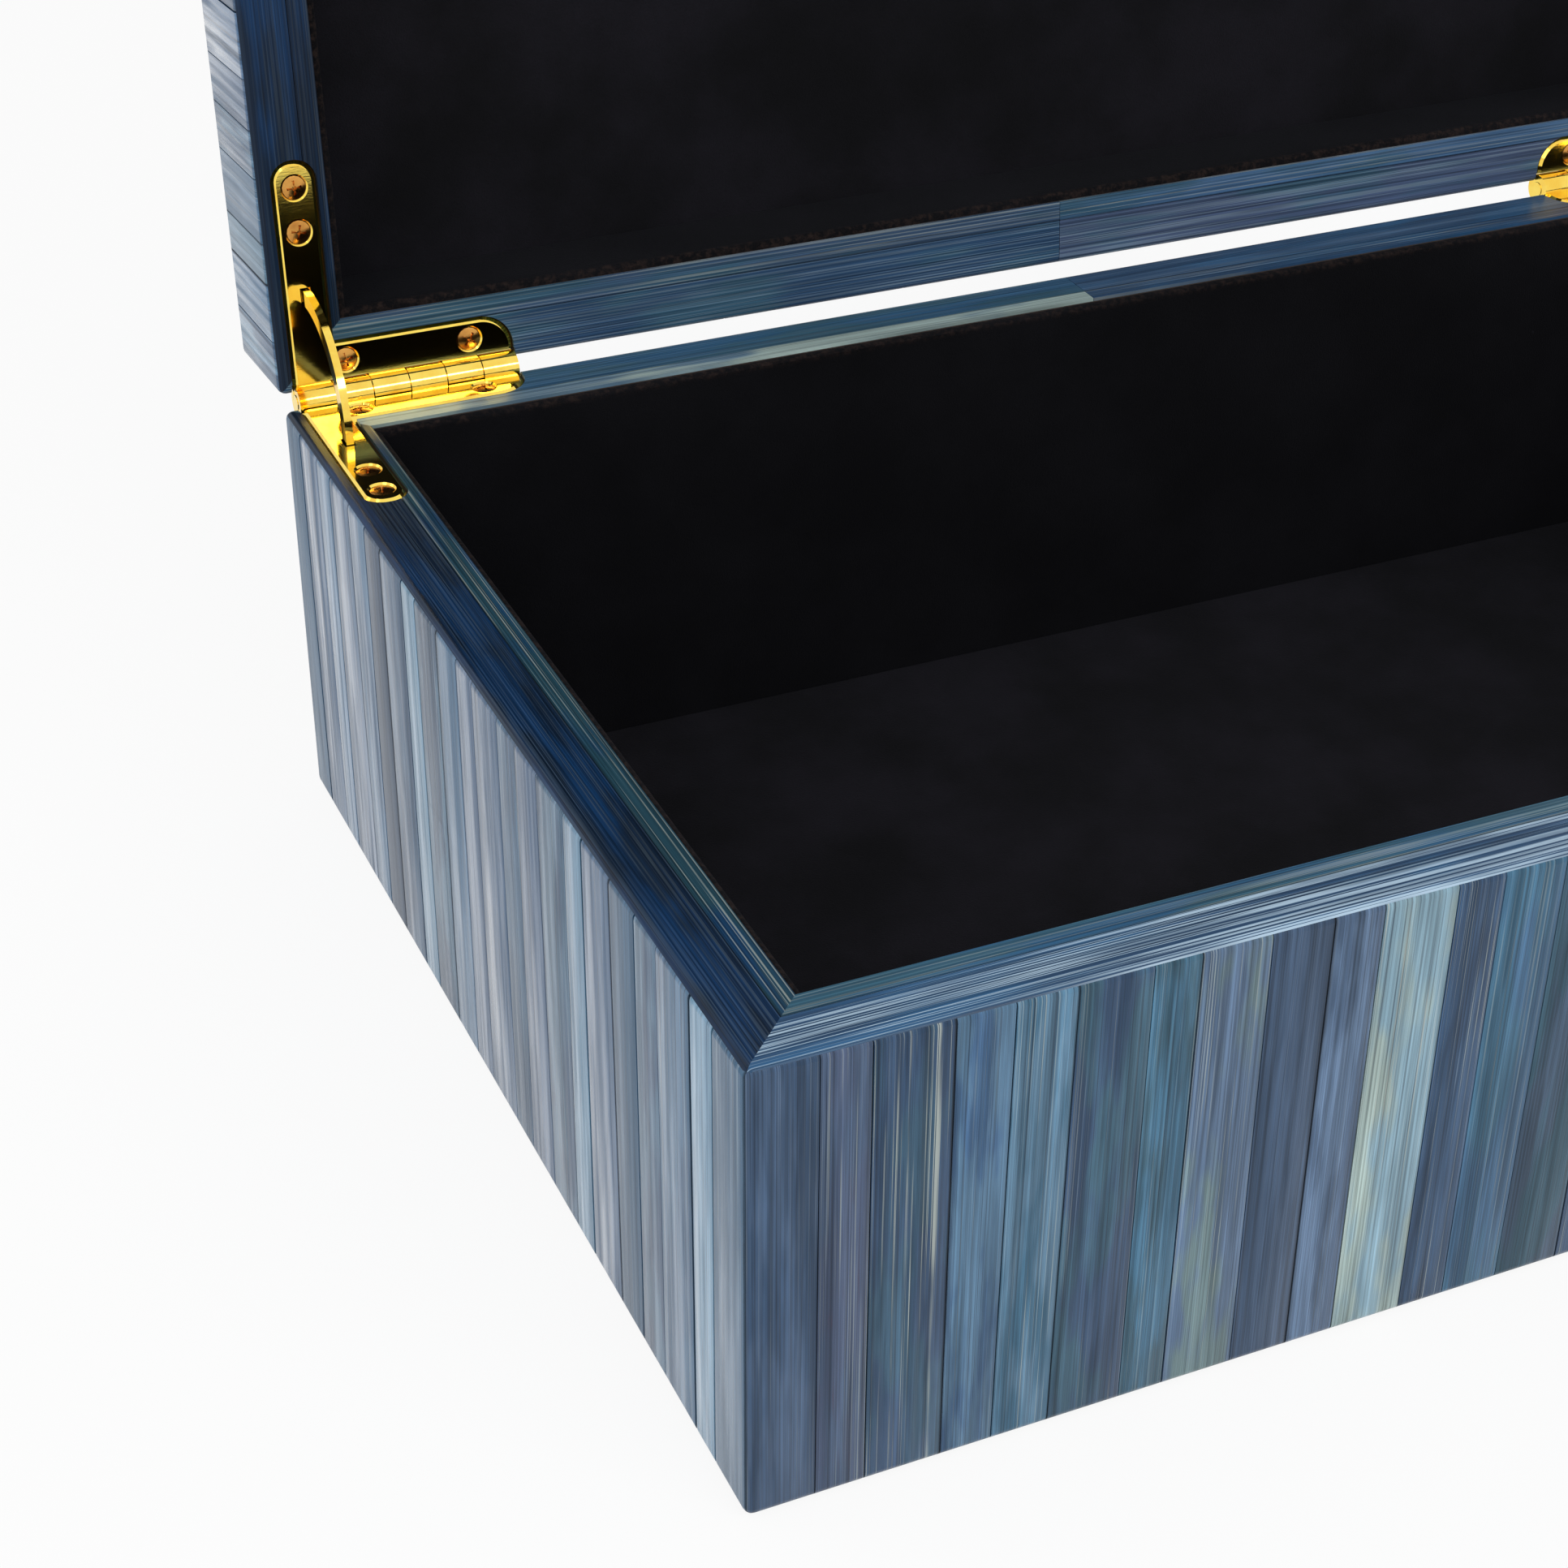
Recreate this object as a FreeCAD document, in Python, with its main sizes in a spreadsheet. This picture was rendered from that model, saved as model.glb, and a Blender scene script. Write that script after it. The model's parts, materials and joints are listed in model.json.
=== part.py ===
"""Keepsake box veneered with straw strips, on a pair of brass quadrant hinges.

Every piece is drawn with the lid closed, in millimetres from the middle of the hinge axis:
X to the right, Y to the back, Z up. It is then hung in its place. The origin of the finished
box is the centre of its underside, and the lid stands open on the stops of the two stays.
"""
import FreeCAD, Part
import os
import re
from collections import namedtuple

import Sketcher

SIZES = {
    # Outside of the box, over the veneer.
    "box_width": 305,
    "box_depth": 203,
    "base_height": 76,
    "lid_height": 25.5,
    "closed_gap": 0.4,
    "lid_open_angle": 95,
    # Walls, panels and what covers them.
    "wall_thickness": 12,
    "bottom_panel": 3.5,
    "lid_panel": 5,
    "veneer_thickness": 0.6,
    "edge_round": 1.4,
    "strip_width": 9.3,
    "strip_wander": 0.13,
    "strip_seam": 0.1,
    "rim_inner_strip": 3.5,
    "lining_thickness": 1.5,
    "lining_drop": 0.8,
    "felt_thickness": 0.8,
    "felt_inset": 3,
    # Hinge leaves and barrel.
    "hinge_setback": 1.5,
    "hinge_margin": 1.6,
    "leaf_width": 7.8,
    "leaf_thickness": 2,
    "leaf_proud": 0.1,
    "leaf_tip_radius": 3.7,
    "leaf_end_radius": 6,
    "leaf_chamfer": 0.85,
    "mortise_clearance": 0.15,
    "barrel_radius": 2.9,
    "barrel_clearance": 0.3,
    "knuckle_gap": 0.2,
    "pin_radius": 1.4,
    "pin_clearance": 0.05,
    # Screws, and where they sit on the two legs of a leaf.
    "screw_head_radius": 2.3,
    "screw_head_height": 1.3,
    "screw_shank_radius": 1.1,
    "screw_length": 10,
    "screw_point": 2.5,
    "screw_clearance": 0.1,
    "pilot_overrun": 0.5,
    "cross_length": 2.6,
    "cross_width": 0.6,
    "cross_depth": 0.8,
    "slot_to_screw": 10,
    "screw_spacing": 7.7,
    "screw_to_tip": 4.6,
    "back_screw_row": 6.2,
    "back_screw_to_edge": 3.6,
    "back_screw_first": 9.7,
    "back_screw_spacing": 22.5,
    "back_screw_to_end": 8,
    # Curved stays.
    "stay_radius": 18.5,
    "stay_depth": 2.6,
    "stay_thickness": 1.3,
    "lug_width": 3,
    "lug_angle": 6,
    "stop_gap": 0.15,
    "slot_clearance": 0.3,
    "pocket_clearance": 0.5,
}

# Knuckles are counted from the outer end of a barrel, and the first belongs to the lid.
KNUCKLES = 6
LID_KNUCKLES = (0, 2, 4)
BASE_KNUCKLES = (1, 3, 5)

# Turn in degrees from one strip edge to the next in the formula that makes their widths uneven.
STRIP_TURN = 137.5

# Largest rounding of a leaf's corners, as a share of the width of the leg that they end.
TIP_SHARE = 0.48
END_SHARE = 0.9

# The hinge at the left, written as formulas on the sizes. A cut through either leaf starts at
# THROUGH_LOW and is THROUGH_HEIGHT high.
LEAF_LEFT = "(wall_thickness - hinge_margin - leaf_width - box_width/2)"
LEAF_SINK = "(closed_gap/2 - leaf_proud)"
LEAF_BED = f"({LEAF_SINK} + leaf_thickness)"
THROUGH_LOW = f"(-2*{LEAF_BED})"
THROUGH_HEIGHT = f"(-2*{THROUGH_LOW})"
GAIN_RADIUS = "(barrel_radius + barrel_clearance)"
STAY_X = f"({LEAF_LEFT} + leaf_width/2)"
STAY_INSIDE = "(stay_radius - stay_depth/2)"
STAY_OUTSIDE = "(stay_radius + stay_depth/2)"
STOP_ANGLE = f"(asin(({LEAF_BED} + stop_gap)/{STAY_INSIDE})/1deg)"
STAY_SPAN = f"(lid_open_angle + 2*({STOP_ANGLE} + lug_angle))"
NEAR_SCREW = f"({STAY_OUTSIDE} + slot_to_screw)"
FAR_SCREW = f"({NEAR_SCREW} + screw_spacing)"
LEAF_LENGTH = f"({FAR_SCREW} + screw_to_tip)"
BACK_WIDTH = "(back_screw_row + back_screw_to_edge)"
BACK_LENGTH = "(back_screw_first + back_screw_spacing + back_screw_to_end)"
SCREW_SPOTS = (
    (STAY_X, f"-{NEAR_SCREW}"),
    (STAY_X, f"-{FAR_SCREW}"),
    (f"({LEAF_LEFT} + back_screw_first)", "-back_screw_row"),
    (f"({LEAF_LEFT} + back_screw_first + back_screw_spacing)", "-back_screw_row"),
)

# Corners of the box by their sign in X and Y: the two ends of each side.
SIDES = {
    "front": ((-1, -1), (1, -1)),
    "back": ((1, 1), (-1, 1)),
    "left": ((-1, 1), (-1, -1)),
}

# The base lies below the hinge axis and the lid above it. Depths are measured from the rim.
Shell = namedtuple("Shell", "name sign wall_end outside panel turn knuckles other_knuckles")
BASE = Shell(
    name="base",
    sign=-1,
    wall_end="(base_height - felt_thickness)",
    outside="(base_height - felt_thickness)",
    panel="bottom_panel",
    turn=None,
    knuckles=BASE_KNUCKLES,
    other_knuckles=LID_KNUCKLES,
)
LID = Shell(
    name="lid",
    sign=1,
    wall_end="(lid_height - veneer_thickness)",
    outside="lid_height",
    panel="lid_panel",
    turn="-lid_open_angle",
    knuckles=LID_KNUCKLES,
    other_knuckles=BASE_KNUCKLES,
)

ACROSS = FreeCAD.Vector(1, 0, 0)
UPRIGHT = FreeCAD.Vector(0, 0, 1)
SIZE_NAMES = re.compile(r"\b(" + "|".join(SIZES) + r")\b")
TOUCH = 1e-4

doc = FreeCAD.newDocument("keepsake_box")
sheet = doc.addObject("Spreadsheet::Sheet", "Sizes")
nodes = []


def fill_sheet():
    """Write each driving size into its own cell, under its name."""
    for row, (name, size) in enumerate(SIZES.items(), start=1):
        sheet.set(f"A{row}", name)
        sheet.set(f"B{row}", str(size))
        sheet.setAlias(f"B{row}", name)
    doc.recompute()


def formula(text):
    """Point each size name in a formula at its cell."""
    return SIZE_NAMES.sub(r"Sizes.\1", text)


def bind(target, **formulas):
    """Bind properties to formulas. A double underscore in a name stands for a dot."""
    for name, text in formulas.items():
        target.setExpression(name.replace("__", "."), formula(text))


def value(text):
    """Present value of a formula."""
    return float(sheet.evalExpression(formula(text)))


def put(target, x="0", y="0", z="0"):
    """Bind where a drawn shape stands."""
    bind(target, Placement__Base__x=x, Placement__Base__y=y, Placement__Base__z=z)


def hang(target, turn=None):
    """Move a drawn piece to the hinge axis of the finished box, and turn it about that axis."""
    put(target, "0", "box_depth/2 + hinge_setback", "base_height + closed_gap/2")
    if turn:
        target.Placement.Rotation = FreeCAD.Rotation(ACROSS, 1)
        bind(target, Placement__Rotation__Angle=turn)


def keep(target, turn=None):
    """Hang a piece and list it as a node."""
    hang(target, turn)
    nodes.append(target)
    return target


def keep_mirrored(name, source):
    """Node on the right that mirrors one on the left."""
    nodes.append(mirrored(name, source, ACROSS))


def mirrored(name, source, normal):
    """Mirror image about a plane through the origin."""
    image = doc.addObject("Part::Mirroring", name)
    image.Source = source
    image.Normal = normal
    return image


def group(name, members):
    """Several separate solids as one object."""
    compound = doc.addObject("Part::Compound", name)
    compound.Links = members
    return compound


def cut(name, stock, tools):
    """Stock less its tools, which don't touch each other."""
    result = doc.addObject("Part::Cut", name)
    result.Base = stock
    result.Tool = tools[0] if len(tools) == 1 else group(f"{name}_tools", tools)
    return result


def within(name, stock, envelope):
    """The part of the stock that lies inside an envelope."""
    result = doc.addObject("Part::Common", name)
    result.Base = stock
    result.Tool = envelope
    return result


def block(name, x_span, y_span, z_span):
    """Box between the given formulas."""
    box = doc.addObject("Part::Box", name)
    put(box, x_span[0], y_span[0], z_span[0])
    bind(
        box,
        Length=f"({x_span[1]}) - ({x_span[0]})",
        Width=f"({y_span[1]}) - ({y_span[0]})",
        Height=f"({z_span[1]}) - ({z_span[0]})",
    )
    return box


def origin_plane(body, role):
    """One of a body's own reference planes."""
    return next(plane for plane in body.Origin.OriginFeatures if plane.Role == role)


def outline(body, name, points, role="XY_Plane", lift="0"):
    """Sketch of a closed polygon whose corners are formulas."""
    sketch = body.newObject("Sketcher::SketchObject", name)
    sketch.AttachmentSupport = [(origin_plane(body, role), "")]
    sketch.MapMode = "FlatFace"
    bind(sketch, AttachmentOffset__Base__z=lift)
    add_polygon(sketch, points)
    return sketch


def add_polygon(sketch, points):
    """Add a closed polygon to a sketch and fix each corner by its two distances."""
    spots = [FreeCAD.Vector(value(x), value(y), 0) for x, y in points]
    first = sketch.GeometryCount
    count = len(points)
    for index, spot in enumerate(spots):
        sketch.addGeometry(Part.LineSegment(spot, spots[(index + 1) % count]))
    for index in range(count):
        following = first + (index + 1) % count
        sketch.addConstraint(Sketcher.Constraint("Coincident", first + index, 2, following, 1))
    for index, (point, spot) in enumerate(zip(points, spots)):
        for kind, text, distance in (("DistanceX", point[0], spot.x), ("DistanceY", point[1], spot.y)):
            rule = Sketcher.Constraint(kind, -1, 1, first + index, 1, distance)
            number = sketch.addConstraint(rule)
            sketch.setExpression(f"Constraints[{number}]", formula(text))


def pad(body, sketch, height):
    """Raise a sketch to a height."""
    feature = body.newObject("PartDesign::Pad", f"{sketch.Name}_pad")
    feature.Profile = sketch
    bind(feature, Length=height)
    return feature


def edge_names(shape, wanted):
    """Names of the edges that a test picks."""
    return [f"Edge{number}" for number, edge in enumerate(shape.Edges, start=1) if wanted(edge)]


def upright_edges(shape, spots):
    """Names of the upright edges at the given places."""
    places = [(value(x), value(y)) for x, y in spots]

    def wanted(edge):
        box = edge.BoundBox
        if box.ZLength < TOUCH or max(box.XLength, box.YLength) > TOUCH:
            return False
        return any(abs(box.XMin - x) < TOUCH and abs(box.YMin - y) < TOUCH for x, y in places)

    return edge_names(shape, wanted)


def round_edges(body, base, edges, radius):
    """Round the named edges of a body's last feature."""
    fillet = body.newObject("PartDesign::Fillet", f"{body.Name}_round")
    fillet.Base = (base, edges)
    bind(fillet, Radius=radius)
    doc.recompute()
    return fillet


def rod(target, kind, name, x_span, radius):
    """Round bar or bore along the hinge axis, in the document or in a body."""
    bar = target.newObject(kind, name) if kind.startswith("PartDesign") else target.addObject(kind, name)
    bar.Placement.Rotation = FreeCAD.Rotation(FreeCAD.Vector(0, 1, 0), 90)
    put(bar, x=x_span[0])
    bind(bar, Radius=radius, Height=f"({x_span[1]}) - ({x_span[0]})")
    return bar


def levels(shell, shallow, deep):
    """Lowest and highest Z of a layer between two depths from a shell's rim."""
    near = f"{shell.sign}*(closed_gap/2 + {shallow})"
    far = f"{shell.sign}*(closed_gap/2 + {deep})"
    return (far, near) if shell.sign < 0 else (near, far)


def corner(signs, inset):
    """Corner of the rectangle that lies inside the box's outline by an inset."""
    x = f"{signs[0]}*(box_width/2 - {inset})"
    y = f"-(hinge_setback + {inset})" if signs[1] > 0 else f"-(hinge_setback + box_depth - {inset})"
    return x, y


def inside_spans(inset):
    """X and Y spans of that rectangle."""
    low = corner((-1, -1), inset)
    high = corner((1, 1), inset)
    return (low[0], high[0]), (low[1], high[1])


def mitred_piece(name, side, outer, inner, z_span):
    """Straight piece of one side between two insets, with its ends cut at the mitres."""
    body = doc.addObject("PartDesign::Body", name)
    start, end = SIDES[side]
    points = [corner(start, outer), corner(end, outer), corner(end, inner), corner(start, inner)]
    sketch = outline(body, f"{name}_outline", points, lift=z_span[0])
    pad(body, sketch, f"({z_span[1]}) - ({z_span[0]})")
    return body


def leaf_plate(body, shell, grow, depth_span):
    """L-shaped plate of a leaf, or of its mortise where it is grown by a clearance."""
    left = f"({LEAF_LEFT} - {grow})"
    leg = f"({LEAF_LEFT} + leaf_width + {grow})"
    right = f"({LEAF_LEFT} + {BACK_LENGTH} + {grow})"
    tip = f"-({LEAF_LENGTH} + {grow})"
    edge = f"-({BACK_WIDTH} + {grow})"
    points = [(left, "0"), (left, tip), (leg, tip), (leg, edge), (right, edge), (right, "0")]
    near, far = (f"{shell.sign}*({depth})" for depth in depth_span)
    low, high = (near, far) if shell.sign > 0 else (far, near)
    plate = pad(body, outline(body, f"{body.Name}_outline", points, lift=low), f"({high}) - ({low})")
    doc.recompute()
    tip_edges = upright_edges(plate.Shape, [(left, tip), (leg, tip)])
    tip_radius = f"min(leaf_tip_radius; {TIP_SHARE}*leaf_width) + {grow}"
    plate = round_edges(body, plate, tip_edges, tip_radius)
    end_edges = upright_edges(plate.Shape, [(right, edge)])
    end_radius = f"min(leaf_end_radius; {END_SHARE}*{BACK_WIDTH}) + {grow}"
    return round_edges(body, plate, end_edges, end_radius)


def chamfer_leaf(body, shell, plate):
    """Break the edge all round the show face, except along the barrel."""
    show = value(f"{shell.sign}*{LEAF_SINK}")

    def wanted(edge):
        box = edge.BoundBox
        return abs(box.ZMin - show) < TOUCH and abs(box.ZMax - show) < TOUCH and box.YMin < -TOUCH

    chamfer = body.newObject("PartDesign::Chamfer", f"{body.Name}_chamfer")
    chamfer.Base = (plate, edge_names(plate.Shape, wanted))
    bind(chamfer, Size="leaf_chamfer")


def knuckle_span(index, gap):
    """X span of a knuckle, drawn in by a gap at each end."""
    pitch = f"{BACK_LENGTH}/{KNUCKLES}"
    return f"{LEAF_LEFT} + {index}*{pitch} + {gap}", f"{LEAF_LEFT} + {index + 1}*{pitch} - {gap}"


def barrel_span(extra):
    """X span of the whole barrel, longer by an extra at each end."""
    return f"{LEAF_LEFT} - {extra}", f"{LEAF_LEFT} + {BACK_LENGTH} + {extra}"


def knuckle_leaf(body, shell):
    """Cut a leaf clear of the other leaf's knuckles, add its own and bore them for the pin."""
    for index in shell.other_knuckles:
        span = knuckle_span(index, "(-knuckle_gap/2)")
        rod(body, "PartDesign::SubtractiveCylinder", f"{body.Name}_clear", span, GAIN_RADIUS)
    for index in shell.knuckles:
        span = knuckle_span(index, "knuckle_gap/2")
        rod(body, "PartDesign::AdditiveCylinder", f"{body.Name}_knuckle", span, "barrel_radius")
    bore = barrel_span("barrel_radius")
    rod(body, "PartDesign::SubtractiveCylinder", f"{body.Name}_bore", bore, "pin_radius + pin_clearance")


def slot_leaf(body):
    """Cut the slot that the stay slides through."""
    slot = body.newObject("PartDesign::SubtractiveBox", f"{body.Name}_slot")
    front = f"({STAY_OUTSIDE} + slot_clearance)"
    back = f"(sqrt({STAY_INSIDE}^2 - {LEAF_BED}^2) - slot_clearance)"
    put(slot, f"{STAY_X} - stay_thickness/2 - slot_clearance", f"-{front}", THROUGH_LOW)
    width = "stay_thickness + 2*slot_clearance"
    bind(slot, Length=width, Width=f"{front} - {back}", Height=THROUGH_HEIGHT)


def drill_leaf(body, shell):
    """Countersunk holes for the screws."""
    head = "screw_head_radius + screw_clearance"
    shank = "screw_shank_radius + screw_clearance"
    for x, y in SCREW_SPOTS:
        hole = body.newObject("PartDesign::SubtractiveCylinder", f"{body.Name}_hole")
        put(hole, x, y, THROUGH_LOW)
        bind(hole, Radius=shank, Height=THROUGH_HEIGHT)
        sink = body.newObject("PartDesign::SubtractiveCone", f"{body.Name}_sink")
        if shell.sign < 0:
            put(sink, x, y, f"-({LEAF_SINK} + screw_head_height)")
            bind(sink, Radius1=shank, Radius2=head, Height="screw_head_height")
        else:
            put(sink, x, y, LEAF_SINK)
            bind(sink, Radius1=head, Radius2=shank, Height="screw_head_height")


def make_leaf(shell):
    """Leaf of the left hinge: plate, knuckles, stay slot and screw holes."""
    body = doc.addObject("PartDesign::Body", f"left_hinge_{shell.name}_leaf")
    plate = leaf_plate(body, shell, "0", (LEAF_SINK, LEAF_BED))
    chamfer_leaf(body, shell, plate)
    knuckle_leaf(body, shell)
    slot_leaf(body)
    drill_leaf(body, shell)
    return keep(body, shell.turn)


def make_pin():
    """Hinge pin, as long as the barrel."""
    body = doc.addObject("PartDesign::Body", "left_hinge_pin")
    rod(body, "PartDesign::AdditiveCylinder", "pin_rod", barrel_span("0"), "pin_radius")
    return keep(body)


def rectangle(x_span, y_span):
    """Corners of a rectangle."""
    return [(x_span[0], y_span[0]), (x_span[1], y_span[0]), (x_span[1], y_span[1]), (x_span[0], y_span[1])]


def make_stay():
    """Curved stay about the hinge axis, with a stop lug at each end."""
    body = doc.addObject("PartDesign::Body", "left_hinge_stay")
    depth = (f"-{STAY_OUTSIDE}", f"-{STAY_INSIDE}")
    section = rectangle((f"{STAY_X} - lug_width/2", f"{STAY_X} + lug_width/2"), depth)
    arc = body.newObject("PartDesign::Revolution", "stay_arc")
    arc.Profile = outline(body, "stay_section", section)
    arc.ReferenceAxis = (arc.Profile[0], ["H_Axis"])
    arc.Midplane = True
    bind(arc, Angle=STAY_SPAN)
    deeper = (f"-({STAY_OUTSIDE} + slot_clearance)", f"-({STAY_INSIDE} - slot_clearance)")
    left_side = rectangle((f"{STAY_X} - lug_width", f"{STAY_X} - stay_thickness/2"), deeper)
    right_side = rectangle((f"{STAY_X} + stay_thickness/2", f"{STAY_X} + lug_width"), deeper)
    waist = body.newObject("PartDesign::Groove", "stay_waist")
    sketch = outline(body, "stay_waist_sides", left_side)
    add_polygon(sketch, right_side)
    waist.Profile = sketch
    waist.ReferenceAxis = (sketch, ["H_Axis"])
    waist.Midplane = True
    bind(waist, Angle=f"{STAY_SPAN} - 2*lug_angle")
    return keep(body, "-lid_open_angle/2")


def make_screw():
    """Countersunk wood screw with a cross recess, its head at the origin and pointing down."""
    body = doc.addObject("PartDesign::Body", "screw")
    profile = [
        ("0", "0"),
        ("screw_head_radius", "0"),
        ("screw_shank_radius", "-screw_head_height"),
        ("screw_shank_radius", "screw_point - screw_length"),
        ("0", "-screw_length"),
    ]
    turned = body.newObject("PartDesign::Revolution", "screw_turned")
    turned.Profile = outline(body, "screw_profile", profile, role="XZ_Plane")
    turned.ReferenceAxis = (turned.Profile[0], ["V_Axis"])
    for length, width in (("cross_length", "cross_width"), ("cross_width", "cross_length")):
        recess = body.newObject("PartDesign::SubtractiveBox", "screw_recess")
        put(recess, f"-{length}/2", f"-{width}/2", "-cross_depth")
        bind(recess, Length=length, Width=width, Height="2*cross_depth")
    return body


def make_screws(shell, screw):
    """The four screws of one leaf, with their heads flush in it."""
    links = []
    for number, (x, y) in enumerate(SCREW_SPOTS):
        link = doc.addObject("App::Link", f"{shell.name}_screw_{number}")
        link.LinkedObject = screw
        if shell.sign > 0:
            link.Placement.Rotation = FreeCAD.Rotation(ACROSS, 180)
        put(link, x, y, f"{shell.sign}*{LEAF_SINK}")
        links.append(link)
    return keep(group(f"left_hinge_{shell.name}_screws", links), shell.turn)


def make_cutter():
    """What the left hinge needs cut out of the base: mortise, barrel gain, stay pocket and pilot holes."""
    mortise = doc.addObject("PartDesign::Body", "hinge_mortise")
    leaf_plate(mortise, BASE, "mortise_clearance", ("-closed_gap", LEAF_BED))
    gain = rod(doc, "Part::Cylinder", "barrel_gain", barrel_span("barrel_clearance"), GAIN_RADIUS)
    half_width = "(lug_width/2 + pocket_clearance)"
    end = f"({STAY_SPAN}/2)"
    pocket = block(
        "stay_pocket",
        (f"{STAY_X} - {half_width}", f"{STAY_X} + {half_width}"),
        (f"-({STAY_OUTSIDE} + pocket_clearance)", f"-({STAY_INSIDE}*cos({end}) - pocket_clearance)"),
        (f"-({STAY_OUTSIDE}*sin({end}) + pocket_clearance)", "0"),
    )
    cuts = [mortise, gain, pocket]
    for number, (x, y) in enumerate(SCREW_SPOTS):
        pilot = doc.addObject("Part::Cylinder", f"pilot_hole_{number}")
        depth = f"({LEAF_SINK} + screw_length + pilot_overrun)"
        put(pilot, x, y, f"-{depth}")
        bind(pilot, Radius="screw_shank_radius + screw_clearance", Height=depth)
        cuts.append(pilot)
    cutter = doc.addObject("Part::MultiFuse", "base_left_cutter")
    cutter.Shapes = cuts
    return cutter


def make_hinges():
    """Both hinges, and the cutters of each shell: the left one and the right one."""
    screw = make_screw()
    left = [make_leaf(BASE), make_leaf(LID), make_pin(), make_stay()]
    left += [make_screws(BASE, screw), make_screws(LID, screw)]
    for piece in left:
        keep_mirrored(piece.Name.replace("left", "right"), piece)
    base_cutter = make_cutter()
    lid_cutter = mirrored("lid_left_cutter", base_cutter, UPRIGHT)
    return {
        BASE: [base_cutter, mirrored("base_right_cutter", base_cutter, ACROSS)],
        LID: [lid_cutter, mirrored("lid_right_cutter", lid_cutter, ACROSS)],
    }


def make_envelope(shell):
    """Outside of a shell as one block with rounded edges, which trims the pieces that reach it."""
    body = doc.addObject("PartDesign::Body", f"{shell.name}_envelope")
    points = [corner(signs, "0") for signs in ((-1, -1), (1, -1), (1, 1), (-1, 1))]
    low, high = levels(shell, "0", shell.outside)
    sketch = outline(body, f"{shell.name}_envelope_outline", points, lift=low)
    raised = pad(body, sketch, f"({high}) - ({low})")
    doc.recompute()
    round_edges(body, raised, edge_names(raised.Shape, lambda edge: True), "edge_round")
    return body


def make_panels(shell, cutters, envelope):
    """Core panels of a shell: four mitred walls and the panel between them."""
    z_span = levels(shell, "veneer_thickness", shell.wall_end)
    for side in SIDES:
        name = f"{shell.name}_{side}_panel"
        wall = mitred_piece(f"{name}_stock", side, "veneer_thickness", "wall_thickness", z_span)
        if side != "front":
            wall = cut(f"{name}_cut", wall, cutters if side == "back" else cutters[:1])
        wall = keep(within(name, wall, envelope), shell.turn)
        if side == "left":
            keep_mirrored(f"{shell.name}_right_panel", wall)
    x_span, y_span = inside_spans("wall_thickness")
    z_span = levels(shell, f"{shell.wall_end} - {shell.panel}", shell.wall_end)
    name = "base_bottom_panel" if shell is BASE else "lid_top_panel"
    keep(group(name, [block(f"{name}_board", x_span, y_span, z_span)]), shell.turn)


def make_rims(shell, cutters, envelope):
    """Straw rim of a shell: two strips on each side, butted at mid-width on the front and back."""
    z_span = levels(shell, "0", "veneer_thickness")
    inner_edge = "(wall_thickness - rim_inner_strip)"
    joint_x = ("-strip_seam/2", "strip_seam/2")
    joint_y = ("-(hinge_setback + box_depth)", "0")
    for side in SIDES:
        name = f"{shell.name}_{side}_rim"
        outer = mitred_piece(f"{name}_outer", side, "0", f"({inner_edge} - strip_seam)", z_span)
        inner = mitred_piece(f"{name}_inner", side, inner_edge, "wall_thickness", z_span)
        tools = cutters[:1]
        if side != "left":
            joint = block(f"{name}_joint", joint_x, joint_y, z_span)
            tools = [joint] + (cutters if side == "back" else [])
        rim = cut(f"{name}_cut", group(f"{name}_strips", [outer, inner]), tools)
        rim = keep(within(name, rim, envelope), shell.turn)
        if side == "left":
            keep_mirrored(f"{shell.name}_right_rim", rim)


def strip_row(name, along, start, length, across, z_span):
    """Row of straw strips of uneven width that fills a length along X or Y."""
    count = round(value(length) / value("strip_width"))
    strips = []
    for index in range(count):
        ends = []
        for edge, seam in ((index, "strip_seam/2"), (index + 1, "-strip_seam/2")):
            inner_edge = 0 < edge < count
            wander = f"strip_wander*sin({STRIP_TURN * edge})" if inner_edge else "0"
            seam = seam if inner_edge else "0"
            ends.append(f"{start} + {length}*({edge} + {wander})/{count} + {seam}")
        spans = (ends, across) if along == "x" else (across, ends)
        strips.append(block(f"{name}_{index}", *spans, z_span))
    return group(f"{name}_row", strips)


def make_strips(shell, cutters, envelope):
    """Upright straw strips on the four outer sides of a shell."""
    z_span = levels(shell, "veneer_thickness", shell.wall_end)
    front = "-(hinge_setback + box_depth)"
    back = "-hinge_setback"
    left = "-box_width/2"
    between = "(box_depth - 2*veneer_thickness)"
    rows = {
        "front": ("x", left, "box_width", (front, f"{front} + veneer_thickness")),
        "back": ("x", left, "box_width", (f"{back} - veneer_thickness", back)),
        "left": ("y", f"{front} + veneer_thickness", between, (left, f"{left} + veneer_thickness")),
    }
    for side, (along, start, length, across) in rows.items():
        name = f"{shell.name}_{side}_strips"
        row = strip_row(name, along, start, length, across, z_span)
        if side == "back":
            row = cut(f"{name}_cut", row, cutters)
        row = keep(within(name, row, envelope), shell.turn)
        if side == "left":
            keep_mirrored(f"{shell.name}_right_strips", row)


def make_lid_top_strips(envelope):
    """Straw strips over the lid's top, in line with those on its front and back."""
    z_span = levels(LID, LID.wall_end, "lid_height")
    y_span = ("-(hinge_setback + box_depth)", "-hinge_setback")
    row = strip_row("lid_top_strips", "x", "-box_width/2", "box_width", y_span, z_span)
    keep(within("lid_top_strips", row, envelope), LID.turn)


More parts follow.
